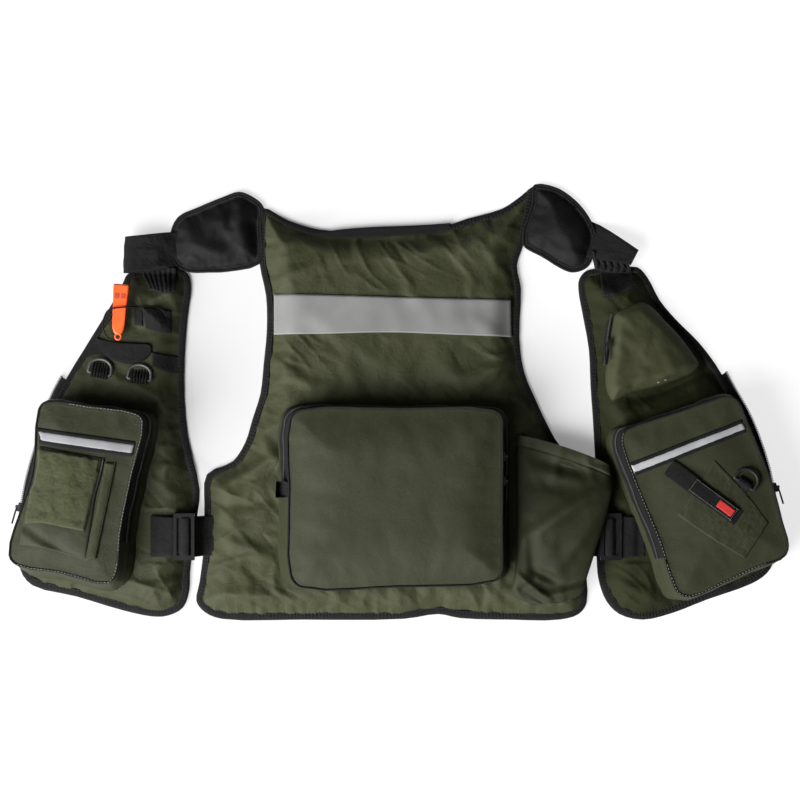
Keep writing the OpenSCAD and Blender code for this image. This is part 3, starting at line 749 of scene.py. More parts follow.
BACK_FOLDS = [
    ((-228, -105), (-140, -60), 3.2, 7), ((-232, -128), (-150, -120), -2.4, 8),
    ((-180, -30), (-110, -110), 2.6, 9), ((-235, -160), (-150, -190), 2.2, 8),
    ((-240, -235), (-140, -238), 1.8, 6), ((-166, 60), (-100, 20), 2.2, 9),
    ((-158, 150), (-90, 175), 1.8, 9), ((-150, 205), (-60, 190), 1.6, 8), ((130, 215), (70, 185), 2.0, 9),
    ((150, 120), (120, 190), 1.6, 8), ((153, 60), (90, 20), 2.2, 10), ((180, -10), (120, 5), 2.4, 7),
    ((-60, 80), (20, 30), 1.4, 12), ((40, 70), (100, 10), 1.6, 12), ((205, -30), (160, -45), 2.0, 6),
    ((-120, 100), (-60, 60), -1.4, 10), ((60, 200), (-20, 170), 1.2, 12), ((-100, -245), (100, -246), 1.2, 6),
]
LEFT_FOLDS = [
    ((-275, 150), (-262, 60), 2.0, 6), ((-320, 120), (-275, 90), 2.0, 6), ((-390, 60), (-330, 20), 1.8, 8),
    ((-268, 20), (-300, -30), 2.2, 7), ((-262, -60), (-300, -90), 2.6, 7), ((-250, -120), (-290, -135), 2.0, 6),
    ((-262, -215), (-320, -235), 2.4, 7), ((-300, -255), (-400, -232), 1.8, 5),
]
RIGHT_FOLDS = [
    ((240, 120), (258, 40), 2.0, 6), ((245, 0), (270, -60), 2.2, 7), ((250, -90), (285, -130), 2.4, 7),
    ((255, -210), (320, -245), 2.4, 7), ((300, 140), (340, 100), 1.8, 6), ((300, -262), (420, -232), 1.6, 5),
    ((285, 2), (394, 44), -9.0, 7), ((300, -14), (398, 20), 2.2, 6), ((268, -20), (320, 0), 1.6, 6),
]


def make_panel(key, lines, seed, sewn):
    """The puffed shell of a panel; `sewn` holds the outlines of what is stitched on it."""
    body, loop = PANELS[key]

    def base(points):
        d, s = to_edge(points, loop)
        z = puff(d) + puckers(d, s, seed)
        z += folds(points, lines) * step_up(d, 6 * MM, 16 * MM)
        x, y = points.T
        grown = step_up(d, 8 * MM, 22 * MM)
        z += clouds(x, y, 60 * MM, seed) * 0.7 * MM * grown
        crisp = (creases(x, y, 128, 13 * MM, 1.7 * MM, seed + 6)
                 + creases(x, y, 155, 17 * MM, 1.9 * MM, seed + 9)
                 - creases(x, y, 140, 15 * MM, 1.3 * MM, seed + 12)
                 + creases(x, y, 35, 16 * MM, 1.4 * MM, seed + 15))
        z += crisp * grown * (0.5 + 0.75 * np.exp(-d / (32 * MM)))
        return z

    def pin(points, d):
        held = d < BINDING_W * 0.8
        for area in sewn:
            held |= inside(points, area)
        return held

    edge = spaced(inset(spaced(loop, 4 * MM), 2.5 * MM), 4 * MM)
    verts, faces = wrinkled(edge, base, pin, 6.5 * MM, 2.4 * MM, seed, gain=0.6, pressure=3.5, grow=0.04)
    verts[:, 2] = np.minimum(verts[:, 2], lane_top(verts[:, :2], key))
    GROUND[key] = bvh_of(verts, faces)
    shell = piece(key + "_shell_cloth", verts, faces, key, body, replaces=(key + "_shell", key + "_foam"))
    make_binding(key, body, loop, seed)


def make_binding(key, body, loop, seed):
    """Folded edge tape, with its stitch line, round the whole panel."""
    path = spaced(loop, 1.1 * MM)
    n = inward(path)
    for _ in range(6):
        n = (np.roll(n, 1, axis=0) + n + np.roll(n, -1, axis=0)) / 3
    n /= np.linalg.norm(n, axis=1, keepdims=True)
    s = np.arange(len(path)) * 1.1 * MM
    wide = BINDING_W + 0.9 * MM * noise(s, s * 0, 16 * MM, seed) + 2.0 * MM * step_up(-path[:, 1], 0.2, 0.235)
    high = EDGE_TOP + 0.9 * MM + 0.7 * MM * noise(s, s * 0 + 7, 12 * MM, seed + 2)
    ribbed = 0.55 * MM * np.sin(s / (2.2 * MM) * math.pi) * (0.6 + 0.4 * noise(s, s * 0 + 3, 30 * MM, seed + 4))
    high = high + ribbed
    shape = [(0.0, 0.10), (-0.02, 0.35), (0.05, 0.72), (0.2, 0.95), (0.5, 1.06), (0.8, 1.04), (0.97, 0.9),
             (1.0, 0.72), (0.9, 0.2), (0.9, 0.0), (0.1, 0.0)]
    verts = np.empty((len(path), len(shape), 3))
    for k, (u, v) in enumerate(shape):
        verts[:, k, :2] = path + n * (wide * u)[:, None]
        verts[:, k, 2] = high * v
    piece(key + "_binding_tape", verts.reshape(-1, 3), ring_faces(len(path), len(shape), wrap_rows=True),
          "binding", body, replaces=key + "_binding")
    line = np.column_stack([path + n * (wide * 0.76)[:, None], high * 1.07])
    sewn = Build()
    stitches_into(sewn, line, closed=True)
    sewn.piece(key + "_binding_stitches", "thread_black", body)


# ---------------------------------------------------------------- zipped pockets

def runs_of(mask):
    """Index runs, round a closed line, where a mask holds."""
    mask = np.asarray(mask)
    if mask.all():
        return [np.arange(len(mask) + 1) % len(mask)]
    start = int(np.nonzero(~mask)[0][0])
    order = (np.arange(len(mask)) + start) % len(mask)
    cuts = np.nonzero(np.diff(mask[order].astype(int)))[0] + 1
    return [ids for ids in np.split(order, cuts) if mask[ids[0]] and len(ids) > 3]


def make_pocket(key, node, body, seed, flare, zip_at, replaces_zip, dome, levels_of_zip, glints=None,
                mat="pocket"):
    """Gusset, face, piping and zip of a big pocket, over the outline of its CAD face.

    flare is (direction, amount): how far the gusset spreads out at its base, and to which side.
    zip_at(x, y) in millimetres says where the zip runs, and glints(x, y) where pale grey stitches are laid: real
    stitches, whose pale colour on only those sides is painted highlight.
    """
    loop = spaced(outline_of(node + "_piping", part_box(node + "_piping")[1][2]), 3 * MM)
    n = -inward(loop)
    for _ in range(3):
        n = (np.roll(n, 1, axis=0) + n + np.roll(n, -1, axis=0)) / 3
    n /= np.linalg.norm(n, axis=1, keepdims=True)
    s = np.arange(len(loop)) * 3 * MM
    spread = np.zeros(len(loop))
    for direction, amount in flare:
        u = np.array(direction) / np.linalg.norm(direction)
        spread = np.maximum(spread, amount * np.clip(n @ u, 0, 1) ** 0.8)
    base_z = height_on(GROUND[key], loop, PANEL_TOP * 0.6) - 3 * MM
    top_z = POCKET_TOP - 2.2 * MM
    rows = []
    levels = 15
    for k in range(levels):
        t = k / (levels - 1)
        bulge = 1.2 * MM * math.sin(math.pi * t)
        crease = (0.9 * MM * noise(s, s * 0 + t * 2.2, 13 * MM, seed)
                  + 0.9 * MM * noise(s, s * 0 + t * 5, 30 * MM, seed + 1))
        crease = crease * math.sin(math.pi * min(1, t * 1.05)) ** 0.6
        out = -2.0 * MM + spread * (1 - t) ** 1.25 + bulge + crease
        rows.append(np.column_stack([loop + n * out[:, None], base_z * (1 - t) + top_z * t]))
    gusset = np.stack(rows)
    body_mesh = Build()
    body_mesh.add(gusset.reshape(-1, 3), ring_faces(levels, len(loop)))
    body_mesh.piece(node + "_gusset", "gusset", body, replaces=node + "_body")

    inner = inset(loop, 1.6 * MM)

    def base(points):
        d, place = to_edge(points, inner)
        z = top_z + 0.6 * MM + dome * np.sin(np.clip(d / (62 * MM), 0, 1) * math.pi / 2) ** 0.9
        z += puckers(d + 4 * MM, place, seed + 2, size=8 * MM, depth=0.6 * MM, reach=10 * MM)
        z += clouds(points[:, 0], points[:, 1], 55 * MM, seed + 9) * 0.5 * MM * step_up(d, 0, 20 * MM)
        return z

    verts, faces = wrinkled(inner, base, lambda p, d: d < 2.5 * MM, 7 * MM, 2.8 * MM, seed + 3, gain=0.45,
                            cap=(0.8 * MM, 1.0 * MM), pressure=1.5, grow=0.015, frames=14)
    piece(node + "_face_cloth", verts, faces, mat, body, replaces=node + "_face")
    GROUND[node] = bvh_of(verts, faces)

    cord = Build()
    wobble = 0.35 * MM * noise(s, s * 0, 25 * MM, seed + 5)
    edge = np.column_stack([inset(loop, 1.2 * MM + wobble), np.full(len(loop), top_z + 0.9 * MM)])
    tube_into(cord, spaced(edge, 2.5 * MM), 1.25 * MM, closed=True)
    cord.piece(node + "_piping_cord", "binding", body, replaces=node + "_piping")
    sewn = Build()
    line = inset(loop, 5.2 * MM)
    stitches_into(sewn, np.column_stack([line, height_on(GROUND[node], line, top_z) + 0.1 * MM]), closed=True,
                  r=0.25 * MM)
    sewn.piece(node + "_face_stitches", "thread_olive", body)

    # Pale grey stitches laid only where light catches the piping: real stitches, their pale colour on these
    # sides is painted highlight.
    if glints is not None:
        path = np.column_stack([inset(loop, 1.8 * MM), np.full(len(loop), top_z + 2.0 * MM)])
        glint = Build()
        for ids in runs_of(glints(path[:, 0] / MM, path[:, 1] / MM)):
            stitches_into(glint, path[ids], pitch=4.2 * MM, length=2.6 * MM, r=0.42 * MM)
        glint.piece(node + "_piping_glint_stitches", "thread_grey", body)

    band, teeth = Build(), Build()
    for ids in runs_of(zip_at(loop[:, 0] / MM, loop[:, 1] / MM)):
        low, high = levels_of_zip
        outer = gusset[low:high + 1][:, ids] + np.column_stack([n[ids], n[ids][:, 0] * 0])[None] * 0.9 * MM
        m = len(ids)
        band.add(outer.reshape(-1, 3), ring_faces(high - low + 1, m, wrap_cols=False))
        middle = gusset[(low + high) // 2][ids] + np.column_stack([n[ids], n[ids][:, 0] * 0]) * 1.6 * MM
        normal = np.column_stack([n[ids], np.full(m, 0.35)])
        line = spaced(middle, 2.0 * MM, closed=False)
        picks = np.linspace(0, m - 1, len(line)).round().astype(int)
        facing = normal[picks] / np.linalg.norm(normal[picks], axis=1, keepdims=True)
        for p, t, q, u in zip(line, *frame_of(line, False, facing)):
            box_into(teeth, p, t * 0.6 * MM, q * 1.7 * MM, u * 0.7 * MM)
    band.piece(node + "_zip_tape", "zip", body, replaces=replaces_zip)
    teeth.piece(node + "_zip_coil", "teeth", body)


def back_pocket_tab():
    """Webbing tab at the lower end of the zip, on the left of the back pocket."""
    def bent(u, v, x, y):
        return -16 * MM * (1 - u) ** 1.5 + 0.5 * MM * np.abs(np.sin(v * math.pi * 5))
    loft("back_pocket_zip_tab", [(-148, -96), (-140, -96), (-131, -97)],
         [(-149, -116), (-140, -116), (-131, -116)], "webbing", "back_panel", ground=55 * MM, lift=1.6 * MM,
         relief=bent, step=1.0 * MM, edge_drop=5 * MM)


# ---------------------------------------------------------------- lofted cloth

def loft(name, upper, lower, mat, body, ground=None, lift=1.4 * MM, step=1.6 * MM, relief=None, rim=1.0 * MM,
         edge_drop=1.6 * MM, replaces=(), extra=0.0, calm=4):
    """Cloth between an upper and a lower line, laid on a panel (a key) or held at a height.

    relief(u, v, x, y) adds height: u runs along the lines and v from the upper to the lower one.
    Returns the cloth's top, for stitches or for more cloth to lie on.
    """
    upper, lower = (np.array(line, dtype=float) * MM for line in (upper, lower))
    upper, lower = (curve(line, 1 * MM) if len(line) > 2 else line for line in (upper, lower))

    def even(line, n):
        run = np.concatenate([[0], np.cumsum(np.linalg.norm(np.diff(line, axis=0), axis=1))])
        at = np.linspace(0, run[-1], n)
        return np.stack([np.interp(at, run, line[:, k]) for k in range(2)], axis=1)

    long = max(np.sum(np.linalg.norm(np.diff(line, axis=0), axis=1)) for line in (upper, lower))
    n = max(6, int(long / step))
    a, b = even(upper, n), even(lower, n)
    m = max(5, int(np.max(np.linalg.norm(a - b, axis=1)) / step))
    v, u = np.meshgrid(np.linspace(0, 1, m), np.linspace(0, 1, n), indexing="ij")
    xy = a[None] * (1 - v[..., None]) + b[None] * v[..., None]
    flat = xy.reshape(-1, 2)
    if isinstance(ground, str):
        low = height_on(GROUND[ground], flat, EDGE_TOP).reshape(m, n)
        for _ in range(calm):
            pad = np.pad(low, 1, mode="edge")
            low = (pad[1:-1, 1:-1] * 2 + pad[:-2, 1:-1] + pad[2:, 1:-1] + pad[1:-1, :-2] + pad[1:-1, 2:]) / 6
    else:
        low = np.full((m, n), float(ground))
    du = np.minimum(u, 1 - u) * long
    dv = np.minimum(v, 1 - v) * np.max(np.linalg.norm(a - b, axis=1))
    near = np.minimum(du, dv)
    z = low + lift * (0.45 + 0.55 * step_up(near, 0, rim)) + extra
    if relief is not None:
        z = z + relief(u, v, xy[..., 0], xy[..., 1]) * step_up(near, 0, 2 * rim)
    top = np.concatenate([xy, z[..., None]], axis=2).reshape(-1, 3)
    faces = [(r * n + c, (r + 1) * n + c, (r + 1) * n + c + 1, r * n + c + 1) for r in range(m - 1)
             for c in range(n - 1)]
    edge = [c for c in range(n)] + [r * n + n - 1 for r in range(1, m)] + \
           [(m - 1) * n + c for c in range(n - 2, -1, -1)] + [r * n for r in range(m - 2, 0, -1)]
    skirt = top[edge].copy()
    skirt[:, 2] -= edge_drop + lift
    k0, k = len(top), len(edge)
    faces += [(edge[i], edge[(i + 1) % k], k0 + (i + 1) % k, k0 + i) for i in range(k)]
    verts = np.vstack([top, skirt])
    face_outwards(piece(name, verts, faces, mat, body, replaces=replaces))
    return bvh_of(top, faces[:(m - 1) * (n - 1)])


def ribs(count, depth=0.35 * MM, along=True):
    """Raised ribs that run with the lines of a loft, or across them."""
    def relief(u, v, x, y):
        t = v if along else u
        return depth * np.abs(np.sin(t * math.pi * count)) + 0.15 * MM * noise(x, y, 3 * MM, 5)
    return relief


def cushion(name, loop, body, seed, replaces, lines, top=14.5 * MM):
    """A closed soft pad with a bound, puckered border."""
    rim, rim_z, run = 6.5 * MM, 5.2 * MM, 40 * MM
    loop = spaced(loop, 3 * MM)

    def base(points):
        d, s = to_edge(points, loop)
        flat = rim_z * (0.55 + 0.45 * step_up(d, 0, 3 * MM))
        groove = -0.9 * MM * np.exp(-((d - rim) / (1.4 * MM)) ** 2)
        rise = (top - rim_z) * np.sin(np.clip((d - rim) / run, 0, 1) * math.pi / 2) ** 0.8
        z = flat + groove + rise + folds(points, lines) * step_up(d, rim, rim + 9 * MM)
        z += puckers(d, s, seed, size=7 * MM, depth=1.5 * MM, reach=11 * MM) * step_up(d, 1 * MM, 4 * MM)
        return z + 0.5 * MM * clouds(points[:, 0], points[:, 1], 30 * MM, seed) * step_up(d, rim, 20 * MM)

    verts, faces = wrinkled(loop, base, lambda p, d: d < rim * 1.1, 5 * MM, 2.4 * MM, seed, gain=0.7,
                            cap=(1.6 * MM, 1.8 * MM), pressure=3.0, grow=0.05)
    GROUND[name] = bvh_of(verts, faces)
    ring = rim_of(verts, loop)
    build = Build()
    build.add(verts, faces)
    m = len(ring)
    under = verts[ring].copy()
    under[:, 2] = 0.7 * MM
    start = skirt_into(build, ring, under)
    build.verts.append(tuple(under.mean(axis=0)))
    build.faces += [(start + (k + 1) % m, start + k, start + m) for k in range(m)]
    build.piece(name, "pad", body, replaces=replaces)
    sewn = Build()
    line = inset(loop, rim * 0.75)
    stitches_into(sewn, np.column_stack([line, height_on(GROUND[name], line) + 0.15 * MM]), closed=True)
    sewn.piece(name + "_stitches", "thread_black", body)
    tape = Build()
    edge = np.column_stack([inset(loop, 0.9 * MM), np.full(len(loop), rim_z * 0.62)])
    tube_into(tape, edge, 2.0 * MM, closed=True, squash=1.25)
    tape.piece(name + "_edge_tape", "binding", body)


def flip_strap(name, path, widths, mat, body, side, thick=2.0 * MM, ribs_across=0, replaces=(), rib=2.4 * MM,
               rib_depth=0.2 * MM, smooth_path=True, wavy=0.35 * MM):
    """Webbing along a path in space, with a fixed sideways direction, so that it may turn over."""
    path = np.array(path, dtype=float) * MM
    path = curve(path, 0.8 * MM) if smooth_path else spaced(path, 0.8 * MM, closed=False)
    along = np.gradient(path, axis=0)
    along /= np.linalg.norm(along, axis=1, keepdims=True)
    side = np.broadcast_to(np.array(side, dtype=float), along.shape)
    side = side / np.linalg.norm(side, axis=1, keepdims=True)
    up = np.cross(along, side)
    up /= np.linalg.norm(up, axis=1, keepdims=True)
    s = np.arange(len(path)) * 0.8 * MM
    half = np.interp(np.linspace(0, 1, len(path)), np.linspace(0, 1, len(widths)), widths) * MM / 2
    across = np.linspace(-1, 1, 27)
    rows = []
    for a in across:
        wave = rib_depth * (np.abs(np.sin(math.pi * s / rib)) if not ribs_across
                            else np.abs(math.sin(a * math.pi * ribs_across / 2)))
        picks = 0.16 * MM * np.sin(math.pi * s / (1.6 * MM) + (math.pi / 2 if round(a * 13) % 2 else 0))
        sway = wavy * noise(s, s * 0 + a * half[0], 11 * MM, int(len(path)) % 97)
        lift = thick * (1 - 0.45 * abs(a) ** 10) / 2 + wave + picks + sway
        rows.append(path + side * (half * a)[:, None] + up * np.broadcast_to(lift, s.shape)[:, None])
    for a in across[::-1]:
        sway = wavy * noise(s, s * 0 + a * half[0], 11 * MM, int(len(path)) % 97)
        rows.append(path + side * (half * a * 0.997)[:, None] + up * (sway - thick / 2)[:, None])
    verts = np.stack(rows, axis=1)
    n, m = verts.shape[:2]
    faces = ring_faces(n, m) + [tuple(range(m - 1, -1, -1)), tuple((n - 1) * m + k for k in range(m))]
    face_outwards(piece(name, verts.reshape(-1, 3), faces, mat, body, replaces=replaces))


# ---------------------------------------------------------------- shoulders and webbing

LEFT_PAD_BLEND = ("back_panel", "left_front", (-0.215, 0.2, 0.01), (-0.275, 0.2, 0.01))
RIGHT_PAD_BLEND = ("back_panel", "right_front", (0.215, 0.2, 0.01), (0.245, 0.2, 0.01))
LEFT_PAD_FOLDS = [
    ((-268, 205), (-205, 178), 3.4, 9), ((-196, 240), (-186, 182), 4.0, 9),
    ((-238, 226), (-200, 230), 2.2, 8), ((-262, 185), (-238, 168), 2.4, 6),
    ((-230, 210), (-206, 196), -3.0, 10), ((-204, 246), (-210, 214), -2.4, 6),
]
RIGHT_PAD_FOLDS = [
    ((185, 196), (236, 178), 1.4, 8), ((190, 232), (240, 214), 1.2, 12), ((186, 216), (226, 172), -0.8, 7),
]


def make_shoulders():
    left = outline_of("left_shoulder_pad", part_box("left_shoulder_pad")[0][2]).copy()
    left[:, 0] += 7 * MM * step_up(left[:, 0], -0.2, -0.172)
    cushion("left_shoulder_padding", left, LEFT_PAD_BLEND, 71, "left_shoulder_pad", LEFT_PAD_FOLDS,
            top=15.5 * MM)
    right = outline_of("right_shoulder_pad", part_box("right_shoulder_pad")[0][2]).copy()
    right[:, 0] -= 7 * MM * (1 - step_up(right[:, 0], 0.164, 0.19))
    cushion("right_shoulder_padding", right, RIGHT_PAD_BLEND, 73, "right_shoulder_pad", RIGHT_PAD_FOLDS)

    flip_strap("left_shoulder_webbing", [
        (-258, 190, 1.6), (-270, 189, 2.4), (-283, 188.5, 7), (-296, 187.5, 13), (-312, 186, 17.5),
        (-326, 184.5, 19), (-336, 183.5, 18), (-338.5, 183, 15.5), (-336, 183, 13), (-322, 183.5, 12.5),
        (-305, 184, 11),
    ], [50, 49, 48, 47, 46, 45, 45, 45, 45, 44, 44], "webbing", "left_front", (0.03, 1, 0), ribs_across=17,
        replaces="left_shoulder_strap", rib_depth=0.8 * MM, wavy=0.9 * MM)

    def pleats(u, v, x, y):
        return (2.6 * MM * np.abs(np.sin(u * math.pi * 7 + 0.5 * np.sin(v * 5))) ** 0.6 * (1 - 0.35 * v)
                + 1.2 * MM * np.exp(-(v / 0.12) ** 2) + 0.4 * MM * noise(x, y, 2.6 * MM, 14))
    loft("left_strap_gather", [(-322, 168), (-298, 171), (-274, 168)], [(-309, 142), (-291, 135), (-275, 138)],
         "webbing", "left_front", "left", lift=2.4 * MM, relief=pleats, step=0.9 * MM)
    flip_strap("left_strap_bartack", [(-303, 167, 23.4), (-286, 168, 23.4)], [4, 4], "webbing", "left_front",
               (0, 1, 0), thick=1.2 * MM, rib=1.1 * MM, smooth_path=False)

    flip_strap("right_shoulder_webbing", [
        (230, 206, 1.6), (241, 202, 3), (253, 197, 9), (266, 191.5, 14), (280, 185.5, 17.5), (294, 179.5, 19.5),
    ], [46, 44, 39, 33, 27, 21], "webbing", "right_front", (0.46, 0.89, 0), ribs_across=15,
        replaces="right_shoulder_strap", rib_depth=0.8 * MM, wavy=0.5 * MM)

    def gathers(u, v, x, y):
        waves = np.abs(np.sin(u * math.pi * 5.5 + 1.6 * v + 0.6 * np.sin(7 * v))) ** 0.6
        return 3.4 * MM * waves * (1 - 0.3 * v) + 0.5 * MM * noise(x, y, 3 * MM, 12)
    loft("right_strap_gather", [(241, 190), (262, 186), (287, 176)], [(247, 165), (268, 161), (293, 162)],
         "webbing", "right_front", "right", lift=4.6 * MM, relief=gathers, step=0.9 * MM, edge_drop=3 * MM)
    loft("right_hook_patch", [(252, 166), (270, 166), (293, 163)], [(254, 129), (276, 134), (297, 144)],
                  "webbing", "right_front", "right", lift=1.8 * MM, step=1.2 * MM,
                  relief=lambda u, v, x, y: 0.8 * MM * np.abs(np.sin(v * 9 + 2 * u)) * step_up(v, 0.05, 0.3)
                  + 0.25 * MM * noise(x, y, 2.5 * MM, 4))
    for name, key, line in (("left_gather", "left", [(-308, 141), (-290, 138.5), (-277, 142)]),
                            ("right_patch", "right", [(256, 132), (276, 137), (295, 146.5)])):
        sewn = Build()
        path = curve(np.array(line) * MM, 3 * MM)
        z = height_on(GROUND[key], path) + 3.6 * MM
        stitches_into(sewn, np.column_stack([path, z]))
        sewn.piece(name + "_stitches", "thread_black", "left_front" if key == "left" else "right_front")


def make_utility_webbing():
    loft("chest_webbing_left", [(-377, 82), (-362, 76), (-350, 70)], [(-398, 52), (-372, 60), (-352, 53)],
         "webbing", "left_front", "left", lift=1.8 * MM, relief=ribs(7), step=1.2 * MM,
         replaces="left_utility_webbing")

    def sag(u, v, x, y):
        return ribs(8, 0.45 * MM)(u, v, x, y) + 3.6 * MM * np.sin(u * math.pi) ** 0.6 * (0.35 + 0.65 * v)
    loft("chest_webbing_middle", [(-376, 81), (-360, 77), (-342, 75), (-324, 74), (-308, 72.5), (-304, 67)],
         [(-368, 66), (-358, 56), (-344, 50), (-329, 48), (-314, 52), (-304, 62)], "webbing", "left_front",
         "left", lift=3.0 * MM, relief=sag, step=1.1 * MM, edge_drop=2.2 * MM)
    loft("chest_webbing_right", [(-304, 63), (-290, 60), (-271, 57.5)], [(-304, 45), (-290, 39), (-271, 34.5)],
         "webbing", "left_front", "left", lift=1.8 * MM, relief=ribs(8, 0.4 * MM), step=1.1 * MM)
    loft("chest_patch_small", [(-327, 120), (-315, 119)], [(-326, 96), (-315, 95)], "webbing", "left_front",
         "left", lift=1.6 * MM, relief=ribs(4, 0.3 * MM, along=False), step=1.1 * MM)

    def fuzzy(u, v, x, y):
        bulge = 1.4 * MM * np.sin(u * 2.6 + 0.4) * np.sin(v * math.pi) ** 0.5
        return 0.35 * MM * noise(x, y, 1.8 * MM, 8) + bulge
    loft("chest_patch_large", [(-316, 118), (-298, 117), (-281, 114)], [(-312, 92), (-296, 87), (-281, 86)],
         "webbing", "left_front", "left", lift=2.0 * MM, relief=fuzzy, step=1.0 * MM)
    for side, turn in (("outer", -11), ("inner", -7)):
        x, y, z = make_d_ring("d_ring_" + side, turn)
        c, t = math.cos(math.radians(turn)), math.sin(math.radians(turn))
        bars = Build()
        for k in np.linspace(-9, 9, 6):
            pts = []
            for b, h in ((12.5, -2.6), (9, -1.0), (5, 1.6), (1.5, 3.4), (-1.6, 3.6), (-4.0, 2.2), (-5.0, -0.2),
                         (-4.6, -2.4)):
                px, py = k * MM * c - b * MM * t, k * MM * t + b * MM * c
                pts.append((x + px, y + py, z + h * MM))
            path = curve(np.array(pts), 0.8 * MM)
            along = np.gradient(path, axis=0)
            along /= np.linalg.norm(along, axis=1, keepdims=True)
            sidev = np.broadcast_to(np.array([c, t, 0.0]), along.shape)
            vs, fs = sweep(path, circle(1.5 * MM, 8, 0.75), sidev, np.cross(along, sidev), False)
            bars.add(vs, fs)
        bars.piece(side + "_ring_tape", "webbing", "left_front")


def make_d_ring(node, turn, mat="ring"):
    """A moulded D-ring over its CAD node: a straight bar and a bow. Returns the bar's middle."""
    r = 2.1 * MM
    low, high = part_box(node)
    co = np.array([v.co[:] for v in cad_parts[node].data.vertices])
    c, t = math.cos(math.radians(turn)), math.sin(math.radians(turn))
    z = (low[2] + high[2]) / 2
    u, v = co[:, 0] * c + co[:, 1] * t, co[:, 1] * c - co[:, 0] * t
    wide, deep = np.ptp(u) / 2 - r * 0.8, np.ptp(v) - r * 1.7
    u0, v0 = (u.min() + u.max()) / 2, v.min() + r * 0.85
    line = [(-wide, 0), (-wide * 0.5, 0), (0, 0), (wide * 0.5, 0), (wide, 0), (wide * 1.0, deep * 0.3)]
    line += [(wide * math.cos(a), deep * 0.38 + (deep * 0.62) * math.sin(a))
             for a in np.linspace(0.12, math.pi - 0.12, 11)]
    line += [(-wide * 1.0, deep * 0.3)]
    pts = np.array([((u0 + a) * c - (v0 + b) * t, (u0 + a) * t + (v0 + b) * c, z) for a, b in line])
    ring = Build()
    tube_into(ring, curve(pts, 1.0 * MM, closed=True), r, closed=True, sides=10, squash=0.85)
    ring.piece(node + "_moulding", mat, node, replaces=node)
    return (u0 * c - v0 * t, u0 * t + v0 * c, z)


def make_side_straps():
    for key, sign, body in (("left", -1, "left_front"), ("right", 1, "right_front")):
        y = -166.0
        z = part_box(key + "_side_strap")[1][2] / MM - 1.2
        if sign < 0:
            path = [(-306, y, 18.8), (-298, y, 19.6), (-288, y, z), (-262, y, z), (-252, y, z - 0.4),
                    (-247, y, z - 8), (-242, y, 8.5), (-234, y, 5.6), (-229, y, 5.4)]
            blend = ("back_panel", body, (-0.236, y * MM, 0.01), (-0.252, y * MM, 0.01))
        else:
            path = [(306, y, 18.8), (298, y, 19.6), (288, y, z), (262, y, z), (252, y, z - 0.4),
                    (247, y, z - 6), (241, y, 9), (233, y, 5.6), (226, y, 5.4)]
            blend = ("back_panel", body, (0.238, y * MM, 0.01), (0.252, y * MM, 0.01))
        flip_strap(key + "_waist_webbing", path, [50] * 3, "webbing", blend, (0, 1, 0), ribs_across=19,
                   replaces=(key + "_side_strap",) + (("side_strap_ends",) if sign < 0 else ()),
                   rib_depth=0.4 * MM, thick=2.2 * MM, wavy=0.2 * MM)
        low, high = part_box(key + "_tri_glide")
        x = (low[0] + high[0]) / 2 / MM
        top = high[2] / MM
        tail = 41 if sign < 0 else 16
        flip_strap(key + "_waist_webbing_return", [
            (x + sign * 6, y, top - 3.4), (x + sign * 1.5, y, top + 0.6), (x - sign * 2, y, top + 1.4),
            (x - sign * 5.5, y, top + 0.4), (x - sign * 7.5, y, top - 3.2)], [47] * 3, "webbing",
            key + "_tri_glide", (0, 1, 0), ribs_across=17, rib_depth=0.4 * MM, thick=1.6 * MM)
        flip_strap(key + "_waist_webbing_tail", [
            (x + sign * (11 + (tail - 11) * t), y + 2 * t, top - h)
            for t, h in ((0, 2.6), (0.17, 1.2), (0.43, 2.0), (1, 4.4))], [48] * 3, "webbing",
            key + "_tri_glide", (0, 1, 0), ribs_across=17, rib_depth=0.5 * MM, thick=1.6 * MM, wavy=0.6 * MM)


# ---------------------------------------------------------------- trim of the back and fronts

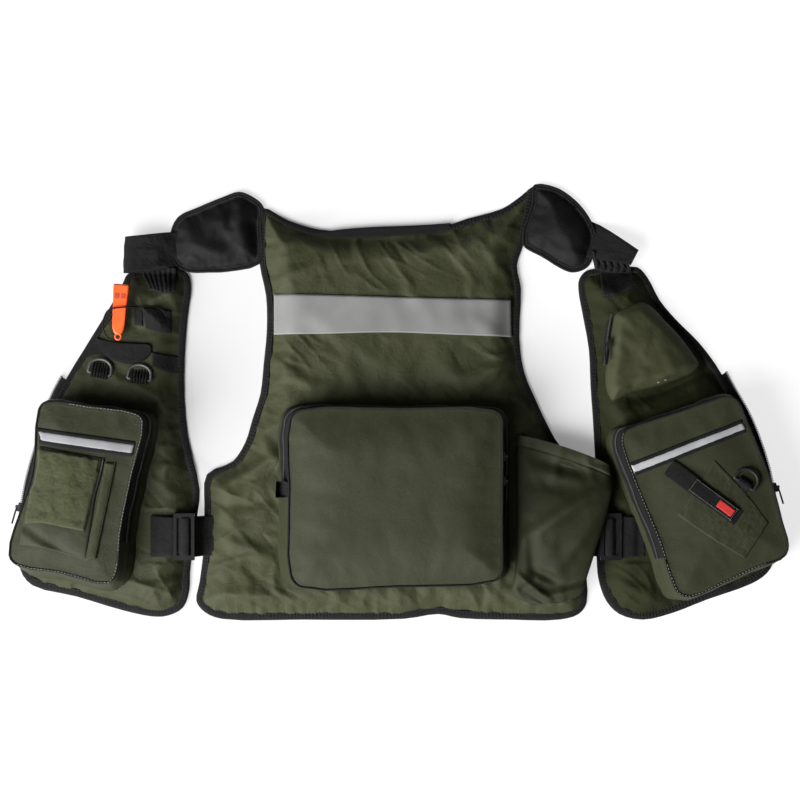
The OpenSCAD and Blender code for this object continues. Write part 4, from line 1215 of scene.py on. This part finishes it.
def make_back_trim():
    top = loft("reflective_tape_band", [(-154, 135), (-100, 134), (40, 130), (141, 128)],
               [(-154, 84.5), (-80, 85.5), (-10, 87), (60, 84.5), (142, 81.5)], "reflective", "back_panel",
               "back", lift=1.2 * MM, step=2.6 * MM, replaces="reflective_band", edge_drop=2.5 * MM,
               extra=0.9 * MM, calm=14)
    sewn = Build()
    for line in ([(-152, 132.8), (-100, 131.8), (40, 127.8), (140, 125.8)],
                 [(-152, 86.8), (-80, 87.6), (-10, 89.2), (60, 86.8), (140, 83.8)]):
        path = curve(np.array(line) * MM, 3 * MM)
        stitches_into(sewn, np.column_stack([path, height_on(top, path) + 0.2 * MM]), r=0.28 * MM)
    sewn.piece("reflective_tape_stitches", "thread_grey", "back_panel")

    loft("neck_tape", [(-95, 212), (-70, 216), (-30, 219), (10, 220.5), (40, 222), (66, 224)],
         [(-90, 206), (-60, 205), (0, 206), (40, 210), (68, 219)], "binding", "back_panel", ground=1.2 * MM,
         lift=5.2 * MM, relief=ribs(4, 0.5 * MM), step=1.6 * MM, replaces="neck_facing", edge_drop=-4.6 * MM)
    for key, side in (("left", -1), ("right", 1)):
        node = key + "_front_zip"
        low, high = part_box(node)
        body, loop = PANELS[key]
        n = inward(spaced(loop, 1.5 * MM))
        line = spaced(loop, 1.5 * MM)
        keep = (line[:, 1] > low[1]) & (line[:, 1] < high[1]) & (line[:, 0] * side > 0.36)
        ids = np.nonzero(keep)[0]
        cut = np.nonzero(np.diff(ids) > 1)[0]
        if len(cut):
            ids = np.concatenate([ids[cut[0] + 1:], ids[:cut[0] + 1]])
        pts, nn = line[ids], n[ids]
        tape = Build()
        rows = []
        for out, z in ((-1.5, 1.6), (-1.5, 3.0), (3, 3.1), (6.2, 2.9), (6.2, 1.5)):
            rows.append(np.column_stack([pts - nn * out * MM, np.full(len(pts), z * MM)]))
        tape.add(np.stack(rows, axis=1).reshape(-1, 3), ring_faces(len(pts), 5))
        tape.piece(node + "_tape", "zip", body, replaces=node)
        coil = Build()
        teeth_into(coil, np.column_stack([pts - nn * 6.3 * MM, np.full(len(pts), 2.4 * MM)]), 2.4 * MM,
                   (0.7 * MM, 1.7 * MM, 1.1 * MM))
        coil.piece(node + "_teeth", "teeth", body)


def make_bottle_pocket():
    """An open-topped tube of cloth, flattened, whose right edge lies over the other panel."""
    rows = [
        # left x, left y, right x, right y, height of the middle, in millimetres
        (147, -42, 262, -79, 40), (146.5, -50, 264, -90, 43), (146.5, -62, 265, -100, 45),
        (147, -90, 264.5, -112, 46),
        (147.5, -130, 257, -145, 46), (147, -172, 246, -177, 45.5), (145.5, -205, 238, -203, 43),
        (142.5, -224, 232, -222, 38), (140, -234, 227.5, -236, 31), (150, -244, 216, -243, 24),
        (166, -249, 200, -247.5, 20.5),
    ]
    rows = np.array(rows, dtype=float) * MM
    t = np.linspace(0, 1, len(rows))
    at = np.linspace(0, 1, 96)
    fine = np.stack([np.interp(at, t, rows[:, k]) for k in range(5)], axis=1)
    for _ in range(6):
        fine[1:-1] = (fine[:-2] + 2 * fine[1:-1] + fine[2:]) / 4
    m = 84
    half = m // 2
    verts = []
    for i, (lx, ly, rx, ry, high) in enumerate(fine):
        v = at[i]
        a = np.linspace(0, 1, half)
        s = 0.5 - 0.5 * np.cos(a * math.pi)
        arch = np.sin(a * math.pi) ** 0.5
        x = lx + (rx - lx) * s
        y = ly + (ry - ly) * s + 7 * MM * np.sin(a * math.pi) * (1 - v) ** 2 * 0.9
        base = 19.5 * MM + 8.5 * MM * s
        pts = np.column_stack([x, y])
        above = (x / MM - 208) * -0.54 + (y / MM + 135) * 0.84
        slope = np.where(above > 0, 0.30 * above, -0.07 * above)
        slope = np.clip(slope, 0, 15) * MM * step_up(-y, 0.02, 0.06)
        z = base + np.maximum(high - base - slope, 6 * MM) * arch
        z += folds(pts, BOTTLE_FOLDS) * np.sin(a * math.pi) ** 0.35
        z += creases(x, y, 128, 16 * MM, 1.6 * MM, 85) * np.sin(a * math.pi) ** 0.5
        z += (clouds(x, y, 34 * MM, 87) * 1.0 + noise(x, y, 9 * MM, 83) * 0.25) * MM * arch
        line = abs(v - 0.125)
        z -= 2.0 * MM * math.exp(-(line / 0.010) ** 2) * arch
        z += (1.0 * MM + 0.8 * MM * noise(x, y, 10 * MM, 89)) * (1 if v < 0.118 else 0) * arch
        verts.append(np.column_stack([x, y, z]))
        mouth = 2.4 * MM * np.sin(a * math.pi) * (v < 0.2)
        verts.append(np.column_stack([x[::-1], y[::-1], (base - 0.6 * MM)[::-1] + mouth]))
    grid = np.stack([np.vstack([verts[2 * i], verts[2 * i + 1]]) for i in range(len(fine))])
    faces = ring_faces(len(fine), m)
    faces.append(tuple((len(fine) - 1) * m + k for k in range(m)))
    face_outwards(piece("bottle_pocket_cloth", grid.reshape(-1, 3), faces, "bottle", "back_panel_squash",
                        replaces=("bottle_pocket", "bottle_pocket_hem")))
    sewn = Build()
    line = grid[12, 2:half - 2].copy()
    line[:, 2] += 0.5 * MM
    stitches_into(sewn, line)
    sewn.piece("bottle_pocket_stitches", "thread_olive", "back_panel_squash")


BOTTLE_FOLDS = [
    ((270, -96), (146, -176), 9.0, 9), ((160, -64), (256, -90), -7.5, 10), ((156, -98), (226, -102), -5.0, 11),
    ((150, -56), (149, -228), 3.0, 4), ((256, -138), (186, -218), 4.0, 8), ((164, -140), (170, -218), -5.0, 7),
    ((142, -206), (192, -246), 8.0, 5), ((180, -240), (240, -222), 5.0, 5), ((204, -224), (160, -204), -6.0, 6),
    ((205, -46), (192, -106), 3.0, 5), ((232, -56), (242, -102), 2.6, 5), ((150, -232), (172, -216), -4.0, 4),
]


def make_left_pocket_trim():
    face = "left_pocket"
    body = "left_front"
    tape = [(-439.5, -34), (-376, -43), (-311, -52)]
    tape_low = [(-441, -46), (-378, -55), (-313.5, -64)]
    loft("left_strip_border", [(p[0] + 0.5, p[1] + 3.6) for p in tape],
         [(p[0] - 0.5, p[1] - 3.6) for p in tape_low], "binding", body, face, lift=1.1 * MM,
         step=1.6 * MM, relief=ribs(9, 0.2 * MM),
         replaces="left_reflective_strip")
    loft("left_strip", tape, tape_low, "left_strip", body, face, lift=1.9 * MM, step=2 * MM)

    def pocket_cloth(u, v, x, y):
        low_part = step_up(v, 0.6, 0.75)
        return (2.2 * MM * np.sin(np.clip(v, 0, 1) * math.pi) ** 0.6 * np.sin(u * math.pi) ** 0.4
                + 4.4 * MM * np.exp(-(((x / MM + 430) * 0.6 + (y / MM + 172) * 0.8) / 9) ** 2) * low_part
                - 4.4 * MM * np.exp(-(((x / MM + 418) * 0.55 + (y / MM + 176) * 0.83) / 7) ** 2) * low_part
                + 0.5 * MM * clouds(x, y, 16 * MM, 31))
    low = loft("patch_pocket_cloth", [(-441, -52), (-359, -67)],
               [(-461.5, -172.5), (-420, -180), (-379, -192)], "left_face", body, face, lift=1.6 * MM,
               relief=pocket_cloth, step=1.8 * MM, replaces="patch_pocket")
    GROUND["patch_pocket"] = low
    loft("tool_tape", [(-356, -72), (-342, -73.5)], [(-380, -193), (-366, -190)], "gusset", body, face,
         lift=2.2 * MM, step=1.6 * MM,
         relief=lambda u, v, x, y: 1.4 * MM * np.sin(u * math.pi) ** 0.6 + 0.5 * MM * noise(x, y, 14 * MM, 3))
    # A dark tube along the slit beside the tool tape: painted shade in the gap.
    slit = Build()
    path = curve(np.array([(-357, -68), (-362, -90), (-371, -122), (-381, -158)]) * MM, 2 * MM)
    tube_into(slit, np.column_stack([path, height_on(GROUND[face], path) + 1.9 * MM]), 1.3 * MM)
    slit.piece("tool_tape_slit_shade", "dark", body)

    def fleece(u, v, x, y):
        z = 0.9 * MM * clouds(x, y, 26 * MM, 77, 3) + 0.3 * MM * noise(x, y * 3, 6 * MM, 79)
        z += (1 - step_up(v, 0.05, 0.4)) * 1.0 * MM * noise(x, y, 9 * MM, 81)
        z += 2.6 * MM * np.sin(u * math.pi) ** 0.35 * np.sin(np.clip(v * 1.05, 0, 1) * math.pi) ** 0.3
        z += 0.3 * MM * noise(x, y, 1.6 * MM, 15)
        return z + 1.6 * MM * step_up(v, 0.86, 0.98)
    loft("pocket_flap_fleece", [(-438, -49), (-424, -51), (-400, -55), (-380, -62), (-357, -65)],
         [(-453, -147), (-432, -146), (-406, -151), (-380, -156)], "loop", "patch_pocket_flap",
         "patch_pocket", lift=1.8 * MM, relief=fleece, step=1.3 * MM,
         replaces="patch_pocket_flap", rim=1.5 * MM)
    sewn = Build()
    for line in ([(-460, -171.5), (-420, -178.5), (-380, -190.5)],):
        path = curve(np.array(line) * MM, 3 * MM)
        stitches_into(sewn, np.column_stack([path, height_on(low, path) + 0.15 * MM]))
    for line in ([(-354, -72), (-365, -116), (-378, -190)], [(-343.5, -74), (-355, -130), (-367.5, -188)]):
        path = curve(np.array(line) * MM, 3 * MM)
        stitches_into(sewn, np.column_stack([path, height_on(GROUND[face], path) + 3.2 * MM]), r=0.26 * MM)
    sewn.piece("patch_pocket_stitches", "thread_olive", body)


def make_right_pocket_trim():
    face = "right_pocket"
    body = "right_front"
    tape = [(284.5, -76.5), (350, -51), (420.5, -24)]
    tape_low = [(288.5, -86), (354, -60), (424, -32.5)]
    loft("right_strip_border", [(p[0] - 1, p[1] + 3.6) for p in tape],
         [(p[0] + 1, p[1] - 3.6) for p in tape_low], "binding", body, face, lift=1.1 * MM,
         step=1.6 * MM, relief=ribs(9, 0.2 * MM))
    loft("right_strip", tape, tape_low, "strip", body, face, lift=1.9 * MM, step=2 * MM)

    def fleece(u, v, x, y):
        return 0.45 * MM * clouds(x, y, 16 * MM, 57, 3) + 0.3 * MM * noise(x + y, (x - y) * 3, 9 * MM, 59) \
            + 0.15 * MM * noise(x, y, 1.8 * MM, 61)
    loft("right_loop_patch", [(386, -70), (420, -106), (452, -146)], [(341, -137), (380, -164), (423, -190)],
         "pocket", body, face, lift=0.8 * MM, relief=fleece, step=1.4 * MM)

    a, b = np.array([328.0, -77.0]), np.array([414.0, -140.0])
    d = (b - a) / np.linalg.norm(b - a)
    side = (-d[1], d[0], 0)
    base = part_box("rod_strap")[0][2] / MM
    path = [(*(a + d * t), base + z)
            for t, z in ((2.5, 0.8), (12, 1.4), (40, 2.4), (70, 2.4), (98, 2.0), (107.5, 0.8))]
    flip_strap("rod_strap_webbing", path, [21.5] * 2, "webbing", "rod_strap", side, replaces="rod_strap",
               ribs_across=9, rib_depth=0.35 * MM, thick=2.2 * MM)
    path = [(*(a + d * t), base + 4.1) for t in (37, 50, 84, 101)]
    flip_strap("rod_strap_label", path, [17.5] * 2, "pad", "rod_strap", side, thick=1.4 * MM, ribs_across=13,
               rib_depth=0.12 * MM)
    path = [(*(a + d * t), base + 5.0) for t in (76, 84, 92, 98)]
    flip_strap("rod_strap_label_tab", path, [9.5] * 2, "label", "rod_strap", side, thick=1.2 * MM, rib=1.4 * MM,
               rib_depth=0.12 * MM)
    sewn = Build()
    for off in (-7.8, 7.8):
        ends = [(*(a + d * t + np.array(side[:2]) * off), base + 5.0) for t in (38.5, 100)]
        stitches_into(sewn, np.array(ends) * MM, pitch=2.6 * MM, length=1.8 * MM)
    for t in (38.5, 99.5):
        ends = [(*(a + d * t + np.array(side[:2]) * off), base + 5.0) for off in (-7.8, 7.8)]
        stitches_into(sewn, np.array(ends) * MM, pitch=2.6 * MM, length=1.8 * MM)
    sewn.piece("rod_strap_stitches", "thread_grey", "rod_strap")

    # This D-ring takes the darker copy of the ring finish: painted shade.
    x, y, z = make_d_ring("d_ring_right", -34, mat="ring_painted_shade")
    c, t = math.cos(math.radians(-34)), math.sin(math.radians(-34))
    tab = []
    for b, h in ((7, -2.4), (4, 1.4), (1.6, 3.3), (-1.4, 3.4), (-3.6, 1.4), (-4.4, -1.4), (-10, -1.8)):
        tab.append((x / MM - b * t, y / MM + b * c, z / MM + h))
    flip_strap("right_ring_tape", tab, [17] * 2, "webbing", body, (c, t, 0), ribs_across=7, thick=1.2 * MM)


def make_chest_pocket():
    body = "right_front"
    loop = curve(np.array([
        (268, 109), (275, 116), (286.5, 121), (302, 125), (317, 117), (331, 102), (345, 88), (360, 69),
        (373, 49), (371, 41), (363.5, 35), (345, 27.5), (323.5, 20.5), (294, 14), (270, 2.5), (263, 6),
        (258.5, 20), (258, 38), (261, 60), (263.5, 85)]) * MM, 2.5 * MM, closed=True)
    if area_of(loop) < 0:
        loop = loop[::-1]

    def base(points):
        d, s = to_edge(points, loop)
        low = height_on(GROUND["right"], points, PANEL_TOP)
        outer = step_up(points[:, 0] + points[:, 1] * 0.75, 0.345, 0.43)
        rise = (11.5 * MM * (1 - outer) + 5.5 * MM * outer)
        z = low * 0.2 + 0.0175 * 0.8 + 0.8 * MM
        z += rise * np.sin(np.clip(d / (15 * MM), 0, 1) * math.pi / 2) ** 0.7
        z += folds(points, CHEST_FOLDS) * 0.4 * step_up(d, 1 * MM, 8 * MM)
        z += puckers(d + 4 * MM, s, 93, size=8 * MM, depth=0.9 * MM, reach=9 * MM)
        return z

    verts, faces = wrinkled(loop, base, lambda p, d: d < 3 * MM, 6 * MM, 2.4 * MM, 95, gain=0.5,
                            cap=(1.2 * MM, 1.2 * MM), pressure=2.0, grow=0.03, frames=14)
    ring = rim_of(verts, loop)
    build = Build()
    build.add(verts, faces)
    skirt = verts[ring].copy()
    skirt[:, :2] += inward(verts[ring][:, :2]) * 2.5 * MM
    skirt[:, 2] = height_on(GROUND["right"], skirt[:, :2]) - 2 * MM
    skirt_into(build, ring, skirt)
    build.piece("chest_pocket_cloth", "chest", body, replaces="chest_pocket")
    tree = bvh_of(verts, faces)
    edge = verts[ring]
    pts = edge[(edge[:, 0] < 0.2685) & (edge[:, 1] > 0.045) & (edge[:, 1] < 0.112)]
    pts = pts[np.argsort(pts[:, 1])]
    tape, coil = Build(), Build()
    section = ((2.6, 1.8), (0.4, 2.4), (-4.2, 1.2), (-6.2, -0.8), (-6.0, -5.0), (2.0, -3))
    rows = [pts + np.array([x, 0, z]) * MM for x, z in section]
    tape.add(np.stack(rows, axis=1).reshape(-1, 3), ring_faces(len(pts), 6))
    tape.piece("chest_zip_tape", "zip", body)
    teeth_into(coil, pts + np.array([-2.2, 0, 2.6]) * MM, 2.4 * MM, (0.6 * MM, 1.7 * MM, 0.7 * MM))
    coil.piece("chest_zip_coil", "teeth", body)
    sewn = Build()
    line = inset(loop, 4.5 * MM)
    stitches_into(sewn, np.column_stack([line, height_on(tree, line) + 0.12 * MM]), closed=True, r=0.25 * MM)
    sewn.piece("chest_pocket_stitches", "thread_olive", body)
    tacks = Build()
    for x, y in ((322, 24.5), (331, 27.5)):
        tube_into(tacks, np.array([(x - 1.6, y, 31.5), (x + 1.6, y + 0.8, 31.5)]) * MM, 0.7 * MM)
    tacks.piece("chest_pocket_bartacks", "cream", body)


CHEST_FOLDS = [
    ((280, 112), (292, 92), 2.2, 5), ((300, 120), (318, 96), 1.4, 7), ((345, 80), (320, 66), 1.6, 7),
    ((366, 46), (330, 40), 1.8, 7), ((270, 8), (290, 40), 2.0, 7), ((300, 18), (306, 44), 1.6, 6),
    ((262, 30), (300, 62), -1.4, 9), ((340, 30), (336, 52), 1.4, 6), ((268, 90), (300, 70), 1.2, 7),
]


def make_whistle():
    """A flat whistle: tapered body, mouthpiece slot, two windows, side ribs and a ring; the slot and the windows
    are dark boxes, painted shade in the openings.
    """
    at = Vector((-0.343, 0.112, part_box("whistle")[0][2]))
    turn = math.radians(-4)
    edge = [(9.5, 34), (9.5, 26), (9.0, 16), (8.2, 0), (7.6, -16), (7.1, -21), (5.4, -25.6), (2.6, -28)]
    outline = [(-9.5, 34)] + edge + [(0, -28.7)] + [(-x, y) for x, y in edge[:0:-1]]
    outline = spaced(np.array(outline, dtype=float), 1.2)
    outline = outline if area_of(outline) > 0 else outline[::-1]
    n = inward(outline)
    layers = []
    for z, cut in ((0.2, 1.6), (0.6, 0.6), (1.4, 0.0), (8.4, 0.0), (9.5, 0.5), (10.0, 1.6)):
        ring = outline + n * cut
        layers.append(np.column_stack([ring, np.full(len(ring), z)]))
    verts = np.concatenate(layers)
    m = len(outline)
    faces = ring_faces(len(layers), m)
    faces += [tuple(range(m - 1, -1, -1)), tuple((len(layers) - 1) * m + k for k in range(m))]
    body_build = Build()
    body_build.add(verts, faces)
    for x in (-6.8, 6.8):
        for y in np.arange(-14, 12, 3.0):
            box_into(body_build, (x * (1 + y / 300), y, 10.0), (0.9, 0, 0), (0, 0.75, 0), (0, 0, 0.35))
    ring = [(3.6 * math.cos(t), -30.8 + 3.6 * math.sin(t), 5)
            for t in np.linspace(0, 2 * math.pi, 28, endpoint=False)]
    _, side, up = frame_of(np.array(ring), True)
    vs, fs = sweep(np.array(ring), circle(1.05, 8), side, up, True)
    body_build.add(vs, fs)
    # The windows and the mouthpiece slot are dark boxes: painted shade inside the openings.
    dark = Build()
    for x in (-3.9, 3.9):
        box_into(dark, (x, 20.6, 9.7), (3.1, 0, 0), (0, 2.5, 0), (0, 0, 0.45))
        box_into(dark, (x, 17.2, 10.02), (3.1, 0, 0), (0, 0.7, 0), (0, 0, 0.12))
    box_into(dark, (0, 33.9, 5), (6.3, 0, 0), (0, 0.35, 0), (0, 0, 1.3))
    for build, name, mat in ((body_build, "whistle_body", "orange"), (dark, "whistle_window_shade", "orange_painted_shade")):
        out = []
        for v in build.verts:
            p = Vector(v) * MM
            out.append((at.x + p.x * math.cos(turn) - p.y * math.sin(turn),
                        at.y + p.x * math.sin(turn) + p.y * math.cos(turn), at.z + p.z))
        build.verts = out
        obj = build.piece(name, mat, "whistle", replaces="whistle" if name == "whistle_body" else (),
                          smooth=False, slot="orange_plastic")
        face_outwards(obj, weld=True)
        for poly in obj.data.polygons:
            poly.use_smooth = abs(poly.normal.z) < 0.9


def dress_cad():
    """Materials for the CAD nodes that stay visible."""
    for name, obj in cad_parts.items():
        mat = None
        if name.endswith("_lining"):
            mat = "lining"
        elif name.endswith("tri_glide"):
            mat = "plastic"
        elif name.endswith("_slider") or "_slider_" in name:
            mat = "metal"
        elif "_puller" in name:
            mat = "plastic"
        if mat:
            obj.data.materials.clear()
            obj.data.materials.append(MATS[mat])


def stage():
    """Pale floor, glowing as painted light that is weaker in the armholes, and soft studio light from the lower
    left.
    """
    mesh = bpy.data.meshes.new("floor")
    mesh.from_pydata([(-30, -30, 0), (30, -30, 0), (30, 30, 0), (-30, 30, 0)], [], [(0, 1, 2, 3)])
    floor = bpy.data.objects.new("floor", mesh)
    scene.collection.objects.link(floor)
    mat = bpy.data.materials.new("floor")
    mat.use_nodes = True
    shader = mat.node_tree.nodes["Principled BSDF"]
    shader.inputs["Emission Color"].default_value = (1, 1, 1, 1)
    tree = mat.node_tree
    link = tree.links.new
    where = tree.nodes.new("ShaderNodeTexCoord")

    def ranged(value, *limits, kind="LINEAR"):
        out = tree.nodes.new("ShaderNodeMapRange")
        out.interpolation_type = kind
        for name, limit in zip(("From Min", "From Max", "To Min", "To Max"), limits):
            out.inputs[name].default_value = limit
        link(value, out.inputs["Value"])
        return out.outputs["Result"]

    def vector(op, value, other=None):
        out = tree.nodes.new("ShaderNodeVectorMath")
        out.operation = op
        link(value, out.inputs[0])
        if other:
            out.inputs[1].default_value = other
        return out

    # The light falls off to the upper right; the floor's own glow is painted light that evens it out and fills
    # in the shadows on the floor. In the armholes the floor is paler and the glow weaker, which paints shade
    # there beside the real shadows.
    fall = ranged(vector("DOT_PRODUCT", where.outputs["Object"], (0.77, 0.63, 0)).outputs["Value"],
                  -0.35, 0.45, 2.3, 0.9)
    off = vector("MULTIPLY", vector("SUBTRACT", where.outputs["Object"], (0, 0.05, 0)).outputs["Vector"],
                 (1 / 0.3, 1 / 0.19, 0))
    reach = vector("LENGTH", off.outputs["Vector"]).outputs["Value"]
    tone = ranged(reach, 1.0, 1.2, 0.46, 0.23, kind="SMOOTHSTEP")
    lit = tree.nodes.new("ShaderNodeMath")
    lit.operation = "MULTIPLY"
    link(fall, lit.inputs[0])
    link(tone, lit.inputs[1])
    glow = tree.nodes.new("ShaderNodeMath")
    glow.operation = "SUBTRACT"
    glow.use_clamp = True
    link(ranged(reach, 1.0, 1.2, 0.90, 1.03, kind="SMOOTHSTEP"), glow.inputs[0])
    link(lit.outputs[0], glow.inputs[1])
    link(glow.outputs[0], shader.inputs["Emission Strength"])
    grey = tree.nodes.new("ShaderNodeCombineColor")
    for socket in grey.inputs:
        link(tone, socket)
    link(grey.outputs["Color"], shader.inputs["Base Color"])
    shader.inputs["Roughness"].default_value = 0.9
    shader.inputs["Specular IOR Level"].default_value = 0.1
    mesh.materials.append(mat)

    world = bpy.data.worlds.new("studio")
    world.use_nodes = True
    world.node_tree.nodes["Background"].inputs["Color"].default_value = (1, 1, 1, 1)
    world.node_tree.nodes["Background"].inputs["Strength"].default_value = 0.06
    scene.world = world

    def area(name, place, size, watts):
        light = bpy.data.lights.new(name, "AREA")
        light.shape = "RECTANGLE"
        light.size, light.size_y = size
        light.energy = watts
        obj = bpy.data.objects.new(name, light)
        obj.location = place
        obj.rotation_euler = (Vector((0, 0, 0)) - Vector(place)).to_track_quat("-Z", "Y").to_euler()
        scene.collection.objects.link(obj)

    area("key", (-1.6, -1.3, 1.45), (2.0, 2.0), 235)
    area("top", (0.0, -0.2, 3.2), (2.6, 2.6), 6)
    scene.view_settings.view_transform = "Standard"
    scene.view_settings.look = "None"


# ---------------------------------------------------------------- build

def cord_piece():
    """The whistle's cord, from its sewn end to the whistle's ring."""
    build = Build()
    path = curve(np.array(CORD_ROUTE) * MM, 1.2 * MM)
    tube_into(build, path, CORD_D / 2)
    obj = build.piece("whistle_tether", "cord", "left_front", replaces="whistle_cord")


def pocket_area(node):
    return outline_of(node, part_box(node)[1][2])


def main():
    cord_piece()
    make_panel("back", BACK_FOLDS, 11, [pocket_area("back_pocket_body")])
    make_panel("left", LEFT_FOLDS, 23, [pocket_area("left_pocket_body")])
    make_panel("right", RIGHT_FOLDS, 37, [pocket_area("right_pocket_body")])
    make_pocket("back", "back_pocket", "back_panel", 41, [((-1, 0), 17 * MM), ((1, 0), 12 * MM)],
                lambda x, y: (y > -98) | (x > 100) & (y > -150), "back_pocket_zip", dome=9 * MM,
                levels_of_zip=(5, 13))
    back_pocket_tab()
    make_pocket("left", "left_pocket", "left_front", 51, [((1, -0.2), 17 * MM), ((0, -1), 15 * MM)],
                lambda x, y: (x < -360) & (y > -112) | (x >= -360) & (y > -172), "left_pocket_zip",
                dome=4.5 * MM, glints=lambda x, y: (y > -30) & (x > -400) | (x > -345) & (y > -180) | (y < -196),
                levels_of_zip=(6, 13), mat="left_face")
    make_pocket("right", "right_pocket", "right_front", 61, [((-1, -0.4), 16 * MM), ((0.4, -1), 12 * MM)],
                lambda x, y: (x + y * 0.36 < 300) & (y > -190) | (y > -130) & (x + y * 0.36 >= 300),
                "right_pocket_fittings", dome=3.4 * MM, levels_of_zip=(6, 13),
                glints=lambda x, y: (x + y * 0.36 < 262) & (y > -190) | (y < -196))
    make_shoulders()
    make_utility_webbing()
    make_side_straps()
    make_back_trim()
    make_bottle_pocket()
    make_left_pocket_trim()
    make_right_pocket_trim()
    make_chest_pocket()
    make_whistle()
    dress_cad()
    stage()


main()
